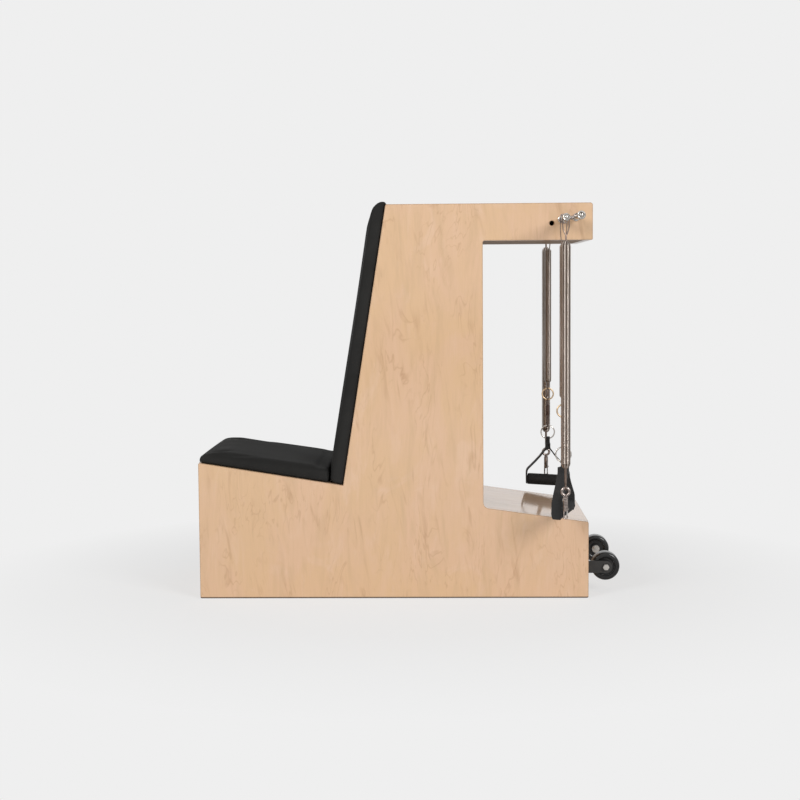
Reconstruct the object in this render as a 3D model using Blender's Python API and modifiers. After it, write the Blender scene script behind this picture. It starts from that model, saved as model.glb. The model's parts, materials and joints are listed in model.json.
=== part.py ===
"""A pilates arm chair: a wooden body with a tilted seat and back, a rear arm, two wheels,
and two springs on each side that hang from the arm, one pair with a grip handle.

Metres. X runs to the rear, Y to the sitter's right, Z up. Sizes along X are counted from
the front edge of the body, and each object is then placed about the middle of the length.
"""

import math

import bmesh
import bpy
import numpy as np
from mathutils import Matrix, Vector

# Wooden body
PANEL = 0.018
GAP = 0.0003
WIDTH = 0.380
HEIGHT = 0.890
BASE_LENGTH = 0.8835
ARM_OVERHANG = 0.0075
ARM_DEPTH = 0.0825
WINDOW_FRONT = 0.6463
SHELF_FRONT = 0.2069
SHELF_REAR = 0.1737
SEAT_FRONT = 0.3112
CORNER_X = 0.3290
CORNER_Z = 0.2586
BACK_BOARD_DROP = 0.060
EDGE_ROUND = 0.0015
WINDOW_TOP_FILLET = 0.004
WINDOW_LOW_FILLET = 0.012
ARM_TOP_FILLET = 0.005
ARM_LOW_FILLET = 0.0025
SMALL_FILLET = 0.003

# Pads
SEAT_PAD_THICKNESS = 0.0300
SEAT_PAD_CROWN = 0.0015
SEAT_PAD_FRONT_ROUND = 0.022
BACK_PAD_THICKNESS = 0.0325
BACK_PAD_CROWN = 0.0020
BACK_PAD_TOP_ROUND = 0.027
BACK_PAD_RISE = 0.0055
PAD_END_ROUND = 0.006
PAD_TUCK = 0.004
PAD_SHOULDER = 0.013
PAD_CLEARANCE = 0.0006

# Wheels
WHEEL_BEHIND = 0.045
WHEEL_Z = 0.0605
WHEEL_RADIUS = 0.0325
WHEEL_WIDTH = 0.034
WHEEL_OFFSET = 0.113
CORE_RADIUS = 0.0215
CORE_RECESS = 0.0015
HUB_RADIUS = 0.0085
AXLE_RADIUS = 0.004
AXLE_CLEARANCE = 0.0003
BRACKET_THICKNESS = 0.004
BRACKET_HEIGHT = 0.028
BRACKET_CLEARANCE = 0.002
FLANGE_LENGTH = 0.030
HEAD_FLATS = 0.0125
HEAD_HEIGHT = 0.0067
WASHER_RADIUS = 0.00925
WASHER_THICKNESS = 0.002
NUT_HEIGHT = 0.006

# Hanger posts on the arm, from its rear end and its top
POST_FRONT_INSET = 0.0695
POST_FRONT_DROP = 0.037
POST_REAR_INSET = 0.0375
POST_REAR_DROP = 0.033
SPARE_HOLE_INSET = 0.091
SPARE_HOLE_DROP = 0.045
POST_HOLE_RADIUS = 0.0055
POST_RADIUS = 0.0052
POST_LENGTH = 0.136
POST_COLLAR_RADIUS = 0.008
POST_COLLAR_THICKNESS = 0.003
SPACER_RADIUS = 0.0066
SPACER_THICKNESS = 0.0015
KNOB_FRONT_RADIUS = 0.0083
KNOB_REAR_RADIUS = 0.0093
KNOB_LENGTH = 0.010
KNOB_ROUND = 0.002
POST_NUT_RADIUS = 0.0085
POST_NUT_HEIGHT = 0.008
POST_WASHER_RADIUS = 0.011

# Snap parked between the two posts of a side
PARKED_OFFSET = 0.036
PARKED_RING_RADIUS = 0.0093
PARKED_WIRE = 0.0017
PARKED_BARREL_RADIUS = 0.0045
PARKED_RIB = 0.0007
PARKED_RIBS = 2
PARKED_TAIL = 0.011

# Springs
SHORT_OFFSET = 0.058
LONG_OFFSET = 0.122
LOOP_RADIUS = 0.0071
LONG_LOOP_WIRE = 0.0014
SHORT_LOOP_WIRE = 0.0013
LOOP_LENGTH = 0.0393
LONG_STEM_RADIUS = 0.0022
LONG_TOP_DROP = 0.0504
LONG_TOP_TAPER = 0.0116
LONG_END_TAPER = 0.011
LONG_LENGTH_LEFT = 0.4916
LONG_LENGTH_RIGHT = 0.4756
LONG_OUTER_RADIUS = 0.0108
LONG_TUBE = 0.0020
LONG_TURNS = 13
LONG_END_TURNS = 2.0
LONG_ROD_RADIUS = 0.0027
LONG_EYE_DROP_LEFT = 0.0504
LONG_EYE_DROP_RIGHT = 0.0504
SHORT_TOP_DROP = 0.056
SHORT_LENGTH = 0.338
SHORT_END_TAPER = 0.007
SHORT_OUTER_RADIUS = 0.0090
SHORT_TUBE = 0.0014
SHORT_TURNS = 11
SHORT_END_TURNS = 1.5
SHORT_ROD_RADIUS = 0.0022
SHORT_LEG_OFFSET = 0.0030
BUTTON_THICKNESS = 0.002
TURN_POINTS = 8
COIL_CLEARANCE = 0.0003

# Rings between a spring and what hangs on it
LINK_CLEARANCE = 0.0003
ROD_EYE_RADIUS = 0.0036
SHORT_ROD_EYE_WIRE = 0.0013
SHORT_ROD_EYE_SLACK = 0.0026
LONG_ROD_EYE_RADIUS = 0.0048
LONG_ROD_EYE_WIRE = 0.0015
LONG_ROD_EYE_SLACK = 0.0032
TAN_RING_RADIUS = 0.0140
TAN_RING_WIRE = 0.00175
TAN_RING_DROP = 0.028
ROD_TAIL_DROP = 0.0074
O_RING_RADIUS = 0.0169
O_RING_WIRE = 0.0015
O_RING_DROP = 0.0682

# Swivel snaps
LONG_EYE_RADIUS = 0.0082
LONG_EYE_WIRE = 0.0030
SHORT_EYE_RADIUS = 0.0036
SHORT_EYE_WIRE = 0.0013
SHORT_EYE_SLACK = 0.0030
NECK_RADIUS = 0.0015
NECK_CLEARANCE = 0.0003
NECK_LENGTH = 0.0025
NECK_HEAD_RADIUS = 0.0025
NECK_HEAD_THICKNESS = 0.0015
SWIVEL_COLLAR_RADIUS = 0.0035
SHORT_COLLAR_DROP = 0.0288
BARREL_RADIUS = 0.0052
BARREL_CHAMFER = 0.0007
LONG_BARREL_LENGTH = 0.031
SHORT_BARREL_LENGTH = 0.026
HOOK_RADIUS = 0.0036
HOOK_WIRE = 0.0017
LONG_HOOK_DROP = 0.0127
BOLT_RADIUS = 0.0014
BOLT_OFFSET = 0.0033
BOLT_CLEARANCE = 0.0002
BOLT_INSIDE = 0.010
BOLT_TRAVEL = 0.007
BOLT_STUD_RADIUS = 0.0010
BOLT_STUD_REACH = 0.0010
BOLT_CAP_RADIUS = 0.0018
BOLT_CAP_LENGTH = 0.0012
BOLT_STUD_HEIGHT = 0.0045

# Handles
GRIP_DROP = 0.122
GRIP_RADIUS = 0.014
GRIP_LENGTH = 0.1035
GRIP_ROUND = 0.003
GRIP_BORE_CLEARANCE = 0.0004
CORE_ROD_RADIUS = 0.0042
WEBBING_WIDTH = 0.0235
WEBBING_THICKNESS = 0.0032
HANDLE_LENGTH = 0.111
END_PLATE_LOW_WIDTH = 0.015
STRAP_LOOP_BORE = 0.0028
STRAP_LOOP_WIDTH = 0.010
STEM_THICKNESS = 0.012
STEM_NECK_THICKNESS = 0.009
FORK_DROP = 0.0402
ARM_SINK = 0.007
STEM_WRAP = 0.0005
LEFT_GRIP_TILT = math.radians(-3.4)
RIGHT_GRIP_TILT = math.radians(3.4)
LEFT_HANDLE_TURN = math.radians(70.0)

# What follows from the sizes above
ARM_LENGTH = BASE_LENGTH + ARM_OVERHANG
ARM_UNDERSIDE = HEIGHT - ARM_DEPTH
WHEEL_X = BASE_LENGTH + WHEEL_BEHIND
POST_FRONT_X = ARM_LENGTH - POST_FRONT_INSET
POST_FRONT_Z = HEIGHT - POST_FRONT_DROP
POST_REAR_X = ARM_LENGTH - POST_REAR_INSET
POST_REAR_Z = HEIGHT - POST_REAR_DROP
SPARE_HOLE_X = ARM_LENGTH - SPARE_HOLE_INSET
SPARE_HOLE_Z = HEIGHT - SPARE_HOLE_DROP
LOOP_VERTEX_Z = POST_FRONT_Z - LOOP_LENGTH
LONG_TOP_Z = POST_FRONT_Z - LONG_TOP_DROP
LONG_FULL_TOP_Z = LONG_TOP_Z - LONG_TOP_TAPER
LONG_BOTTOM_Z_LEFT = LONG_TOP_Z - LONG_LENGTH_LEFT
LONG_BOTTOM_Z_RIGHT = LONG_TOP_Z - LONG_LENGTH_RIGHT
LONG_EYE_Z_LEFT = LONG_BOTTOM_Z_LEFT - LONG_EYE_DROP_LEFT
LONG_EYE_Z_RIGHT = LONG_BOTTOM_Z_RIGHT - LONG_EYE_DROP_RIGHT
SHORT_TOP_Z = POST_FRONT_Z - SHORT_TOP_DROP
SHORT_BOTTOM_Z = SHORT_TOP_Z - SHORT_LENGTH
TAN_RING_Z = SHORT_BOTTOM_Z - TAN_RING_DROP
ROD_TAIL_END_Z = TAN_RING_Z - ROD_TAIL_DROP
SHORT_COLLAR_BOTTOM_Z = TAN_RING_Z - SHORT_COLLAR_DROP
O_RING_Z = SHORT_COLLAR_BOTTOM_Z - O_RING_DROP
GRIP_Z = O_RING_Z - GRIP_DROP
FORK_Z = O_RING_Z - FORK_DROP
TILT = math.atan2(SEAT_FRONT - CORNER_Z, CORNER_X)
SIDE = WIDTH / 2
INNER_SIDE = SIDE - PANEL - GAP
REAR_END = WHEEL_X + WHEEL_RADIUS
MIDDLE_X = REAR_END / 2
ALONG_SEAT = Vector((math.cos(TILT), 0, -math.sin(TILT)))
UP_BACK = Vector((math.sin(TILT), 0, math.cos(TILT)))
CORNER = Vector((CORNER_X, 0, CORNER_Z))

WOOD = ((0.72, 0.50, 0.34), 0.45, 0.0)
VINYL = ((0.012, 0.012, 0.013), 0.42, 0.0)
RUBBER = ((0.010, 0.010, 0.011), 0.60, 0.0)
BLACK_PLASTIC = ((0.016, 0.016, 0.017), 0.45, 0.0)
BLACK_METAL = ((0.030, 0.030, 0.032), 0.45, 0.0)
CHROME = ((0.80, 0.79, 0.77), 0.14, 1.0)
STEEL = ((0.46, 0.42, 0.38), 0.32, 1.0)
DARK_STEEL = ((0.16, 0.13, 0.12), 0.40, 1.0)
BRASS = ((0.62, 0.47, 0.30), 0.32, 1.0)
WEBBING = ((0.010, 0.010, 0.010), 0.85, 0.0)
FOAM = ((0.009, 0.009, 0.010), 0.75, 0.0)

for old in list(bpy.data.objects):
    bpy.data.objects.remove(old, do_unlink=True)

CHAIR = bpy.data.collections.new("pilates_arm_chair")
bpy.context.scene.collection.children.link(CHAIR)


# Making and joining solids


def outward(mesh):
    """Welds the mesh and turns its faces outwards."""
    shape = bmesh.new()
    shape.from_mesh(mesh)
    bmesh.ops.remove_doubles(shape, verts=shape.verts, dist=1e-6)
    bmesh.ops.recalc_face_normals(shape, faces=shape.faces)
    shape.to_mesh(mesh)
    shape.free()


def new_object(name, mesh):
    made = bpy.data.objects.new(name, mesh)
    CHAIR.objects.link(made)
    return made


def evaluated(thing):
    """The object with its modifiers or curve turned into a plain mesh."""
    bpy.context.view_layer.update()
    graph = bpy.context.evaluated_depsgraph_get()
    mesh = bpy.data.meshes.new_from_object(thing.evaluated_get(graph))
    mesh.transform(thing.matrix_world)
    name = thing.name
    bpy.data.objects.remove(thing, do_unlink=True)
    outward(mesh)
    return new_object(name, mesh)


def boolean(target, tool, operation):
    change = target.modifiers.new(operation.lower(), "BOOLEAN")
    change.operation = operation
    change.solver = "EXACT"
    change.object = tool
    name = target.name
    result = evaluated(target)
    bpy.data.objects.remove(tool, do_unlink=True)
    result.name = name
    return result


def joined(target, *tools):
    for tool in tools:
        target = boolean(target, tool, "UNION")
    return target


def cut(target, *tools):
    for tool in tools:
        target = boolean(target, tool, "DIFFERENCE")
    return target


def finish(thing, name, look, origin):
    """Names the piece, gives it its material and puts its origin where it turns or sits."""
    colour, roughness, metallic = look
    thing.name = name
    thing.data.name = name
    thing.data.transform(Matrix.Translation(-Vector(origin)))
    thing.location = Vector(origin) - Vector((MIDDLE_X, 0, 0))
    material = bpy.data.materials.new(name)
    material.use_nodes = True
    shader = material.node_tree.nodes["Principled BSDF"]
    shader.inputs["Base Color"].default_value = (*colour, 1)
    shader.inputs["Roughness"].default_value = roughness
    shader.inputs["Metallic"].default_value = metallic
    material.diffuse_color = (*colour, 1)
    thing.data.materials.clear()
    thing.data.materials.append(material)
    for face in thing.data.polygons:
        face.use_smooth = True
    thing.data.set_sharp_from_angle(angle=math.radians(35))
    return thing


def loft(sections):
    """A closed solid through rings of equally many points, with flat ends."""
    mesh = bpy.data.meshes.new("loft")
    count = len(sections[0])
    points = [tuple(point) for ring in sections for point in ring]
    faces = [list(range(count)), list(range(len(points) - count, len(points)))]
    for row in range(len(sections) - 1):
        for column in range(count):
            after = (column + 1) % count
            low, high = row * count, (row + 1) * count
            faces.append([low + column, low + after, high + after, high + column])
    mesh.from_pydata(points, [], faces)
    outward(mesh)
    return new_object("loft", mesh)


def prism(outline, low_y, high_y):
    """A flat piece: an outline in X and Z with its thickness along Y."""
    return loft([[(x, y, z) for x, z in outline] for y in (low_y, high_y)])


def box(low, high):
    x0, y0, z0 = low
    x1, y1, z1 = high
    return prism([(x0, z0), (x1, z0), (x1, z1), (x0, z1)], y0, y1)


def rounded(corners, steps=2):
    """An outline whose corners, each with its own radius, become arcs."""
    outline = []
    for index, (x, z, radius) in enumerate(corners):
        here = Vector((x, z))
        before = (Vector(corners[index - 1][:2]) - here).normalized()
        after = (Vector(corners[(index + 1) % len(corners)][:2]) - here).normalized()
        half = before.angle(after) / 2
        reach = radius / math.tan(half)
        centre = here + (before + after).normalized() * radius / math.sin(half)
        start = here + before * reach - centre
        end = here + after * reach - centre
        for step in range(steps + 1):
            mix = start.lerp(end, step / steps).normalized() * radius
            outline.append(tuple(centre + mix))
    return outline


def turned(profile, steps, axis, centre, closed=False):
    """A turned piece. The profile holds (radius, distance along the axis) pairs that run
    down its outer side, and a closed one has a bore."""
    mesh = bpy.data.meshes.new("profile")
    count = len(profile)
    edges = [(index, index + 1) for index in range(count - 1)]
    if closed:
        edges.append((count - 1, 0))
    mesh.from_pydata([(radius, 0, height) for radius, height in profile], edges, [])
    thing = new_object("turned", mesh)
    screw = thing.modifiers.new("turn", "SCREW")
    screw.steps = steps
    screw.render_steps = steps
    screw.use_merge_vertices = True
    screw.merge_threshold = 0.00001
    thing = evaluated(thing)
    turn = Vector((0, 0, 1)).rotation_difference(Vector(axis)).to_matrix().to_4x4()
    thing.data.transform(Matrix.Translation(Vector(centre)) @ turn)
    return thing


def rod(radius, start, end, steps=12):
    """A plain round bar between two points."""
    start, end = Vector(start), Vector(end)
    length = (end - start).length
    return turned([(0, length), (radius, length), (radius, 0), (0, 0)], steps, end - start, start)


def wire(points, radius, closed=False, resolution=1):
    """A round wire along the points."""
    curve = bpy.data.curves.new("wire", "CURVE")
    curve.dimensions = "3D"
    curve.bevel_depth = radius
    curve.bevel_resolution = resolution
    curve.use_fill_caps = True
    line = curve.splines.new("POLY")
    line.points.add(len(points) - 1)
    for place, point in zip(line.points, points):
        place.co = (*point, 1)
    line.use_cyclic_u = closed
    return evaluated(new_object("wire", curve))


def hexagon(flats, start, end):
    """A six-sided head or nut between two points along Y."""
    radius = flats / 2 / math.cos(math.pi / 6)
    corners = [math.pi / 3 * side for side in range(6)]
    (x, y0, z), (_, y1, _) = start, end
    outline = [(x + radius * math.cos(turn), z + radius * math.sin(turn)) for turn in corners]
    return prism(outline, y0, y1)


def circle(centre, radius, across, up, count):
    """Points round a circle spanned by two directions."""
    turns = [2 * math.pi * step / count for step in range(count)]
    centre, across, up = Vector(centre), Vector(across), Vector(up)
    return [centre + radius * (math.cos(t) * across + math.sin(t) * up) for t in turns]


def stadium(low, high, radius, across, count):
    """Points round an upright loop with a half circle at each end."""
    across, up = Vector(across), Vector((0, 0, 1))
    points = []
    for step in range(count + 1):
        turn = math.pi * step / count
        points.append(Vector(high) + radius * (math.cos(turn) * across + math.sin(turn) * up))
    for step in range(count + 1):
        turn = math.pi * step / count
        points.append(Vector(low) - radius * (math.cos(turn) * across + math.sin(turn) * up))
    return points


# Wooden body


def on_back_line(z, behind=0.0):
    """The X of a line parallel to the back, this far behind its front face."""
    start = CORNER + behind * ALONG_SEAT
    return start.x + (z - start.z) * math.tan(TILT)


def on_seat_line(x, below=0.0):
    """The height of the seat line, or of one this far under it."""
    return CORNER_Z + (CORNER_X - x) * math.tan(TILT) - below / math.cos(TILT)


def on_shelf(x, below=0.0):
    slope = (SHELF_REAR - SHELF_FRONT) / (BASE_LENGTH - WINDOW_FRONT)
    return SHELF_FRONT + slope * (x - WINDOW_FRONT) - below * math.hypot(1, slope)


def side_panel(name, sign):
    corners = [
        (0, 0, SMALL_FILLET),
        (BASE_LENGTH, 0, SMALL_FILLET),
        (BASE_LENGTH, SHELF_REAR, SMALL_FILLET),
        (WINDOW_FRONT, SHELF_FRONT, WINDOW_LOW_FILLET),
        (WINDOW_FRONT, ARM_UNDERSIDE, WINDOW_TOP_FILLET),
        (ARM_LENGTH, ARM_UNDERSIDE, ARM_LOW_FILLET),
        (ARM_LENGTH, HEIGHT, ARM_TOP_FILLET),
        (on_back_line(HEIGHT), HEIGHT, SMALL_FILLET),
        (CORNER_X, CORNER_Z, GAP),
        (0, on_seat_line(0), SMALL_FILLET),
    ]
    low, high = sorted((sign * (SIDE - PANEL), sign * SIDE))
    panel = prism(rounded(corners), low, high)
    soften = panel.modifiers.new("edges", "BEVEL")
    soften.width = EDGE_ROUND
    soften.segments = 1
    soften.limit_method = "ANGLE"
    soften.angle_limit = math.radians(60)
    panel = evaluated(panel)
    places = (
        (POST_FRONT_X, POST_FRONT_Z),
        (POST_REAR_X, POST_REAR_Z),
        (SPARE_HOLE_X, SPARE_HOLE_Z),
    )
    for x, z in places:
        panel = cut(panel, rod(POST_HOLE_RADIUS, (x, low - PANEL, z), (x, high + PANEL, z), 16))
    finish(panel, name, WOOD, (BASE_LENGTH / 2, sign * (SIDE - PANEL / 2), HEIGHT / 2))


def inner_panel(name, outline):
    panel = prism(outline, -INNER_SIDE, INNER_SIDE)
    middle_x = sum(x for x, _ in outline) / len(outline)
    middle_z = sum(z for _, z in outline) / len(outline)
    finish(panel, name, WOOD, (middle_x, 0, middle_z))


def body():
    side_panel("left_side_panel", -1)
    side_panel("right_side_panel", 1)
    inner_panel("front_panel", [
        (0, 0), (PANEL, 0),
        (PANEL, on_seat_line(PANEL, PANEL + GAP)), (0, on_seat_line(0, PANEL + GAP)),
    ])
    rear_front = BASE_LENGTH - PANEL
    inner_panel("base_panel", [
        (PANEL + GAP, 0), (rear_front - GAP, 0), (rear_front - GAP, PANEL), (PANEL + GAP, PANEL),
    ])
    inner_panel("rear_panel", [
        (rear_front, 0), (BASE_LENGTH, 0),
        (BASE_LENGTH, on_shelf(BASE_LENGTH, PANEL + GAP)),
        (rear_front, on_shelf(rear_front, PANEL + GAP)),
    ])
    butt = CORNER - GAP * ALONG_SEAT
    butt_low = butt - PANEL * UP_BACK
    inner_panel("seat_board", [
        (0, on_seat_line(0)), (0, on_seat_line(0, PANEL)),
        (butt_low.x, butt_low.z), (butt.x, butt.z),
    ])
    low_front = CORNER - BACK_BOARD_DROP * UP_BACK
    low_rear = low_front + PANEL * ALONG_SEAT
    board_top = HEIGHT - PANEL - GAP
    inner_panel("back_board", [
        (low_front.x, low_front.z), (low_rear.x, low_rear.z),
        (on_back_line(board_top, PANEL), board_top), (on_back_line(board_top), board_top),
    ])
    end_front = ARM_LENGTH - PANEL
    inner_panel("top_panel", [
        (on_back_line(HEIGHT), HEIGHT), (on_back_line(HEIGHT - PANEL), HEIGHT - PANEL),
        (end_front - GAP, HEIGHT - PANEL), (end_front - GAP, HEIGHT),
    ])
    inner_panel("arm_end_panel", rounded([
        (end_front, ARM_UNDERSIDE, EDGE_ROUND), (ARM_LENGTH, ARM_UNDERSIDE, ARM_LOW_FILLET),
        (ARM_LENGTH, HEIGHT, ARM_TOP_FILLET), (end_front, HEIGHT, EDGE_ROUND),
    ]))
    column_front = WINDOW_FRONT - PANEL
    inner_panel("arm_floor_panel", [
        (column_front, ARM_UNDERSIDE), (end_front - GAP, ARM_UNDERSIDE),
        (end_front - GAP, ARM_UNDERSIDE + PANEL), (column_front, ARM_UNDERSIDE + PANEL),
    ])
    inner_panel("column_panel", [
        (column_front, on_shelf(column_front) + GAP), (WINDOW_FRONT, on_shelf(WINDOW_FRONT) + GAP),
        (WINDOW_FRONT, ARM_UNDERSIDE - GAP), (column_front, ARM_UNDERSIDE - GAP),
    ])
    inner_panel("shelf_panel", [
        (column_front, on_shelf(column_front)), (BASE_LENGTH, on_shelf(BASE_LENGTH)),
        (BASE_LENGTH, on_shelf(BASE_LENGTH, PANEL)),
        (column_front, on_shelf(column_front, PANEL)),
    ])


# Pads


def pad_section(place, normal, thickness, crown, fullness):
    """A ring across a pad: flat underneath, drawn in at the sides, crowned on top."""
    half = [
        (SIDE - PAD_TUCK, 0.0),
        (SIDE, 0.20),
        (SIDE - 0.10 * PAD_SHOULDER, 0.68),
        (SIDE - 0.40 * PAD_SHOULDER, 0.90),
        (SIDE - PAD_SHOULDER, 0.985),
        (SIDE / 2, 1.0),
    ]
    ring = []
    for y, share in half:
        bulge = crown * (1 - (y / SIDE) ** 2)
        ring.append((y, (share * thickness + share * bulge) * fullness))
    middle = [(0, (thickness + crown) * fullness)]
    ring = ring + middle + [(-y, height) for y, height in reversed(ring)]
    return [place + Vector((0, y, 0)) + height * normal for y, height in ring]


def quarter(length, radius, steps):
    """Stations along a rounded end, each with how full the pad is there."""
    stations = []
    for step in range(steps + 1):
        turn = math.pi / 2 * step / steps
        stations.append((radius * (1 - math.cos(turn)), length, math.sin(turn)))
    return stations


def pad(name, start, along, normal, length, thickness, crown, start_round, end_round):
    """A padded cushion with a rounded start and end, on the line from start."""
    edge = 0.28
    stations = []
    for distance, _, share in quarter(length, start_round, 5):
        stations.append((distance, edge + (1 - edge) * share))
    for share in (0.33, 0.66):
        stations.append((start_round + share * (length - start_round - end_round), 1.0))
    for distance, _, share in reversed(quarter(length, end_round, 5)):
        stations.append((length - distance, edge + (1 - edge) * share))
    sections = []
    for distance, fullness in stations:
        place = start + distance * along
        sections.append(pad_section(place, normal, thickness, crown, fullness))
    middle = start + length / 2 * along
    finish(loft(sections), name, VINYL, middle)


def pads():
    seat_length = CORNER_X / math.cos(TILT) - BACK_PAD_THICKNESS - BACK_PAD_CROWN - PAD_CLEARANCE
    seat_start = Vector((0, 0, on_seat_line(0))) + GAP * UP_BACK
    pad("seat_pad", seat_start, ALONG_SEAT, UP_BACK, seat_length, SEAT_PAD_THICKNESS,
        SEAT_PAD_CROWN, SEAT_PAD_FRONT_ROUND, PAD_END_ROUND)
    back_start = CORNER - GAP * ALONG_SEAT + GAP * UP_BACK
    back_length = (HEIGHT - CORNER_Z) / math.cos(TILT) + BACK_PAD_RISE
    pad("back_pad", back_start, UP_BACK, -ALONG_SEAT, back_length, BACK_PAD_THICKNESS,
        BACK_PAD_CROWN, PAD_END_ROUND, BACK_PAD_TOP_ROUND)


# Wheels


def wheel(side, sign):
    middle = sign * WHEEL_OFFSET
    centre = Vector((WHEEL_X, middle, WHEEL_Z))
    half = WHEEL_WIDTH / 2
    out = (0, sign, 0)
    bore = AXLE_RADIUS + AXLE_CLEARANCE
    tyre_bore = CORE_RADIUS + GAP
    shoulder = WHEEL_RADIUS - tyre_bore
    tyre = turned([
        (tyre_bore, half), (tyre_bore + 0.55 * shoulder, half),
        (tyre_bore + 0.85 * shoulder, half - 0.12 * shoulder),
        (WHEEL_RADIUS, half - 0.45 * shoulder), (WHEEL_RADIUS, -half + 0.45 * shoulder),
        (tyre_bore + 0.85 * shoulder, -half + 0.12 * shoulder),
        (tyre_bore + 0.55 * shoulder, -half), (tyre_bore, -half),
    ], 24, out, centre, closed=True)
    finish(tyre, f"{side}_wheel_tyre", RUBBER, centre)
    face = half - CORE_RECESS
    core = turned([
        (bore, half), (HUB_RADIUS, half), (HUB_RADIUS, face), (CORE_RADIUS, face),
        (CORE_RADIUS, -face), (HUB_RADIUS, -face), (HUB_RADIUS, -half), (bore, -half),
    ], 18, out, centre, closed=True)
    finish(core, f"{side}_wheel_core", BLACK_PLASTIC, centre)
    inner = half + BRACKET_CLEARANCE
    outer = inner + BRACKET_THICKNESS
    front = BASE_LENGTH + GAP
    rise = BRACKET_HEIGHT / 2
    outline = [(front, WHEEL_Z - rise)]
    for step in range(13):
        turn = -math.pi / 2 + math.pi * step / 12
        outline.append((WHEEL_X + rise * math.cos(turn), WHEEL_Z + rise * math.sin(turn)))
    outline.append((front, WHEEL_Z + rise))
    low, high = sorted((middle + sign * inner, middle + sign * outer))
    bracket = prism(outline, low, high)
    low, high = sorted((middle + sign * outer, middle + sign * (outer - FLANGE_LENGTH)))
    flange = box((front, low, WHEEL_Z - rise), (front + BRACKET_THICKNESS, high, WHEEL_Z + rise))
    bracket = joined(bracket, flange)
    hole = rod(bore, centre, centre + 2 * outer * Vector(out), 16)
    finish(cut(bracket, hole), f"{side}_wheel_bracket", BLACK_METAL,
           (front, middle + sign * outer, WHEEL_Z))
    head_from = outer + GAP
    nut_from = -half - GAP
    nut_to = nut_from - WASHER_THICKNESS - NUT_HEIGHT
    bolt = turned([
        (0, head_from + HEAD_HEIGHT / 2), (AXLE_RADIUS, head_from + HEAD_HEIGHT / 2),
        (AXLE_RADIUS, nut_from), (WASHER_RADIUS, nut_from),
        (WASHER_RADIUS, nut_from - WASHER_THICKNESS),
        (AXLE_RADIUS, nut_from - WASHER_THICKNESS),
        (AXLE_RADIUS, nut_to - AXLE_RADIUS / 2), (0, nut_to - AXLE_RADIUS / 2),
    ], 16, out, centre)
    ends = [(head_from, head_from + HEAD_HEIGHT), (nut_from - WASHER_THICKNESS / 2, nut_to)]
    for near, far in ends:
        start, end = sorted((middle + sign * near, middle + sign * far))
        bolt = joined(bolt, hexagon(HEAD_FLATS, (WHEEL_X, start, WHEEL_Z), (0, end, 0)))
    finish(bolt, f"{side}_axle_bolt", CHROME, centre)


# Hanger posts


def post(name, x, z, sign, knob_radius, planes):
    """A post through the side panel with its nut inside and a knob outside. Each plane
    has a pair of small collars that keep a spring's loop in its place."""
    inside = -PANEL - GAP
    washer = inside - SPACER_THICKNESS
    nut = washer - POST_NUT_HEIGHT
    knob = POST_LENGTH - KNOB_LENGTH
    shank = POST_HOLE_RADIUS - GAP
    profile = [
        (0, POST_LENGTH), (knob_radius - KNOB_ROUND, POST_LENGTH),
        (knob_radius, POST_LENGTH - KNOB_ROUND), (knob_radius, knob), (POST_RADIUS, knob),
    ]
    for plane in sorted(planes, reverse=True):
        reach = LONG_LOOP_WIRE + 2 * GAP
        for near, far in ((reach + SPACER_THICKNESS, reach), (-reach, -reach - SPACER_THICKNESS)):
            if plane + near > knob:
                continue
            profile += [(POST_RADIUS, plane + near), (SPACER_RADIUS, plane + near),
                        (SPACER_RADIUS, plane + far), (POST_RADIUS, plane + far)]
    collar = GAP + POST_COLLAR_THICKNESS
    profile += [
        (POST_RADIUS, collar), (POST_COLLAR_RADIUS, collar), (POST_COLLAR_RADIUS, GAP),
        (shank, GAP), (shank, inside), (POST_WASHER_RADIUS, inside),
        (POST_WASHER_RADIUS, washer), (POST_NUT_RADIUS, washer), (POST_NUT_RADIUS, nut),
        (0, nut),
    ]
    made = turned(profile, 10, (0, sign, 0), (x, sign * SIDE, z))
    finish(made, name, CHROME, (x, sign * SIDE, z))


def parked_snap(name, sign):
    """A snap that hangs by its ring on the front post and is hooked on the rear one."""
    y = sign * (SIDE + PARKED_OFFSET)
    front = Vector((POST_FRONT_X, y, POST_FRONT_Z))
    rear = Vector((POST_REAR_X, y, POST_REAR_Z))
    along = (rear - front).normalized()
    across = Vector((-along.z, 0, along.x))
    hook_radius = POST_RADIUS + PARKED_WIRE + LINK_CLEARANCE
    play = PARKED_RING_RADIUS - PARKED_WIRE - POST_RADIUS - LINK_CLEARANCE
    ring_centre = front + play * along
    made = wire(circle(ring_centre, PARKED_RING_RADIUS, along, across, 16), PARKED_WIRE, True)
    start = ring_centre + PARKED_RING_RADIUS * along
    end = rear - hook_radius * along
    length = (end - start).length
    rib = length / (2 * PARKED_RIBS + 1)
    profile = [(0, length)]
    for index in range(2 * PARKED_RIBS + 1):
        radius = PARKED_BARREL_RADIUS - (PARKED_RIB if index % 2 else 0)
        profile += [(radius, length - index * rib), (radius, length - (index + 1) * rib)]
    profile.append((0, 0))
    barrel = turned(profile, 10, along, start)
    turns = [math.radians(190 - 250 * step / 10) for step in range(11)]
    hook = [rear + hook_radius * (math.cos(t) * along + math.sin(t) * across) for t in turns]
    tip = rear + (hook_radius + PARKED_TAIL) * along + hook_radius / 2 * across
    made = joined(made, barrel, wire(hook, PARKED_WIRE))
    lever = wire([rear + hook_radius * along, tip], PARKED_WIRE * 0.8)
    finish(joined(made, lever), name, STEEL, front)


# Springs


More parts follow.
